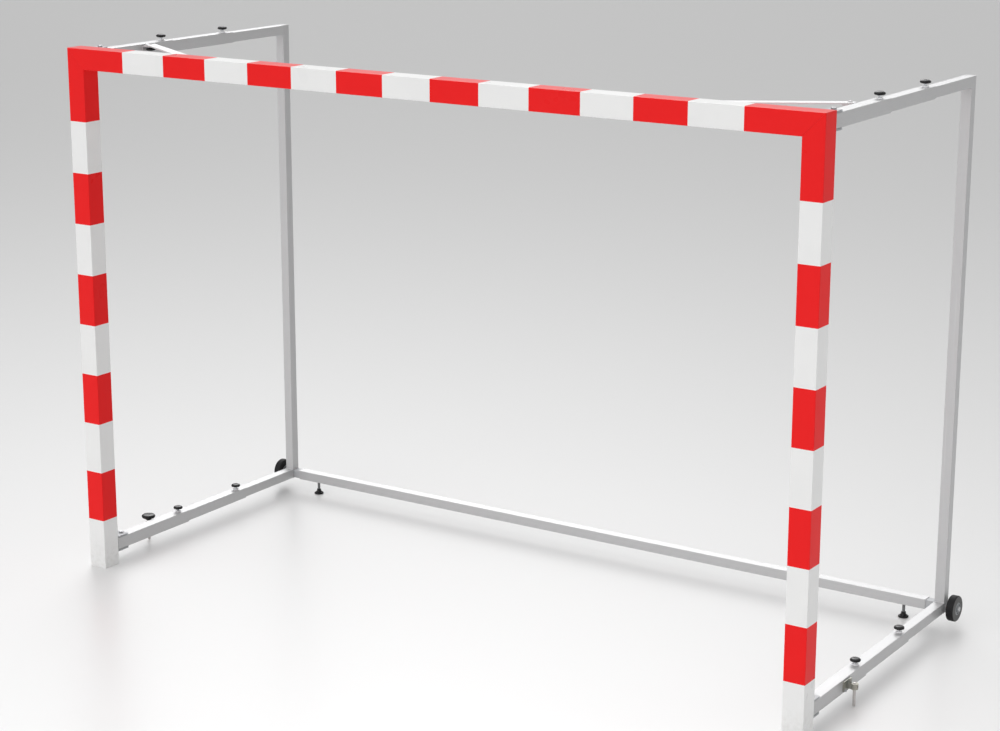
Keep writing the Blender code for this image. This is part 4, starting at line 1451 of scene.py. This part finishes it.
@dataclass
class Studio:
    """Pale floor, soft light from all round and the photograph's camera."""

    camera_place: Triple = (4.504194, -6.956117, 3.059651)
    camera_turn: Triple = (75.493, -0.0653640, 33.163)
    lens: float = 81.198
    sensor: float = 36.0
    clip: Point = (0.05, 400.0)
    reach: float = 70.0
    facets: int = 96
    floor_height: float = -0.0004
    # painted pool of light on the floor: its middle, how fast it falls off, and its tone in the middle and
    # far away
    pool: Point = (-0.236, -5.600)
    fade: float = 0.0113
    near: float = 0.965
    far: float = 0.5523
    matt: float = 0.77
    # painted glow: the floor gives off a little light of its own, though it is no lamp
    glow: float = 0.10
    gloss: float = 0.10
    gloss_spread: float = 0.32
    lamp_power: float = 13.0
    lamp_size: Point = (1.6, 3.0)
    lamp_spread: float = 100.0
    lamp_place: Triple = (6.2, -0.2, 1.5)

    def build(self) -> None:
        """Make the stage, the light and the camera."""
        self.floor()
        self.sky()
        self.side_lamp()
        self.camera()

    def floor(self) -> None:
        """A wide pale floor with a painted pool of light round the goal and a faint painted glow of its own.
        """
        shader = Shader("pale_floor")
        x, y, _ = shader.axes()
        # painted pool of light: the floor's colour is lightest round the pool's middle and falls off to far;
        # it colours the matt, the painted glow and the gloss alike
        x, y = x - self.pool[0], y - self.pool[1]
        painted_light_falloff = ((x * x + y * y) * -self.fade).math("EXPONENT")
        tone = self.far + (self.near - self.far) * painted_light_falloff
        white = (1.0, 1.0, 1.0)
        pale = shader.shade(white, tone)
        matt = shader.node("ShaderNodeBsdfDiffuse", {"Color": shader.shade(white, tone * self.matt)})
        # painted glow of the floor, in the colour of the painted pool of light
        glow = shader.node("ShaderNodeEmission", {"Color": pale, "Strength": self.glow})
        gloss = shader.node("ShaderNodeBsdfGlossy", {"Color": pale, "Roughness": self.gloss_spread})
        polished = shader.node("ShaderNodeMixShader", {0: self.gloss, 1: matt, 2: gloss})
        both = shader.node("ShaderNodeAddShader", {0: polished, 1: glow})
        shader.node("ShaderNodeOutputMaterial", {0: both})
        bm = bmesh.new()
        place = standing(0.0, 0.0, self.floor_height)
        bmesh.ops.create_circle(bm, cap_ends=True, segments=self.facets, radius=self.reach, matrix=place)
        mesh = bpy.data.meshes.new("floor")
        bm.to_mesh(mesh)
        bm.free()
        mesh.materials.append(shader.material)
        floor = placed("floor", mesh)

    def sky(self) -> None:
        """Soft light from all round, as lobes over an even base."""
        world = bpy.data.worlds.new("soft_light")
        bpy.context.scene.world = world
        world.use_nodes = True
        tree = Tree(world.node_tree)
        tree.nodes.nodes.clear()
        place = tree.node("ShaderNodeTexCoord").outputs["Generated"]
        light: Value | float = SKY_BASE
        for direction, strength, sharpness in SKY_LOBES:
            aim = tuple(Vector(direction).normalized())
            dot = tree.node("ShaderNodeVectorMath", {0: place, 1: aim}, operation="DOT_PRODUCT")
            lobe = Value(tree, dot.outputs["Value"]).most(0.0) ** sharpness
            light = lobe * strength + light
        background = tree.node("ShaderNodeBackground", {"Color": (1.0, 1.0, 1.0, 1.0), "Strength": light})
        tree.node("ShaderNodeOutputWorld", {0: background})

    def side_lamp(self) -> None:
        """A large soft lamp low on the right."""
        data = bpy.data.lights.new("side_lamp", "AREA")
        data.energy = self.lamp_power
        data.shape = "RECTANGLE"
        data.size, data.size_y = self.lamp_size
        data.spread = math.radians(self.lamp_spread)
        lamp = placed("side_lamp", data)
        lamp.matrix_world = sideways(1, self.lamp_place)
        lamp.visible_camera = False

    def camera(self) -> None:
        """The camera at the photograph's place, turn and lens."""
        data = bpy.data.cameras.new("camera")
        data.lens = self.lens
        data.sensor_width = self.sensor
        data.clip_start, data.clip_end = self.clip
        camera = placed("camera", data)
        camera.location = self.camera_place
        camera.rotation_euler = Euler([math.radians(angle) for angle in self.camera_turn])
        bpy.context.scene.camera = camera
        bpy.context.scene.view_settings.view_transform = "Standard"


def main() -> None:
    """Build every sub-assembly in order, then the stage."""
    logging.basicConfig(level=logging.INFO, format="%(name)s: %(message)s")
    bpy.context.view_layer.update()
    bench = Bench()
    kinds = (FrontFrame, HingeSet, SideRails, ClampKnobs, CornerBraces, RearFrame)
    kinds += (LevellingFeet, TransportWheels, FloorAnchors)
    for kind in kinds:
        kind(bench).build()
        LOG.info("%s done", kind.__name__)
    Studio().build()


if __name__ == "__main__":
    main()
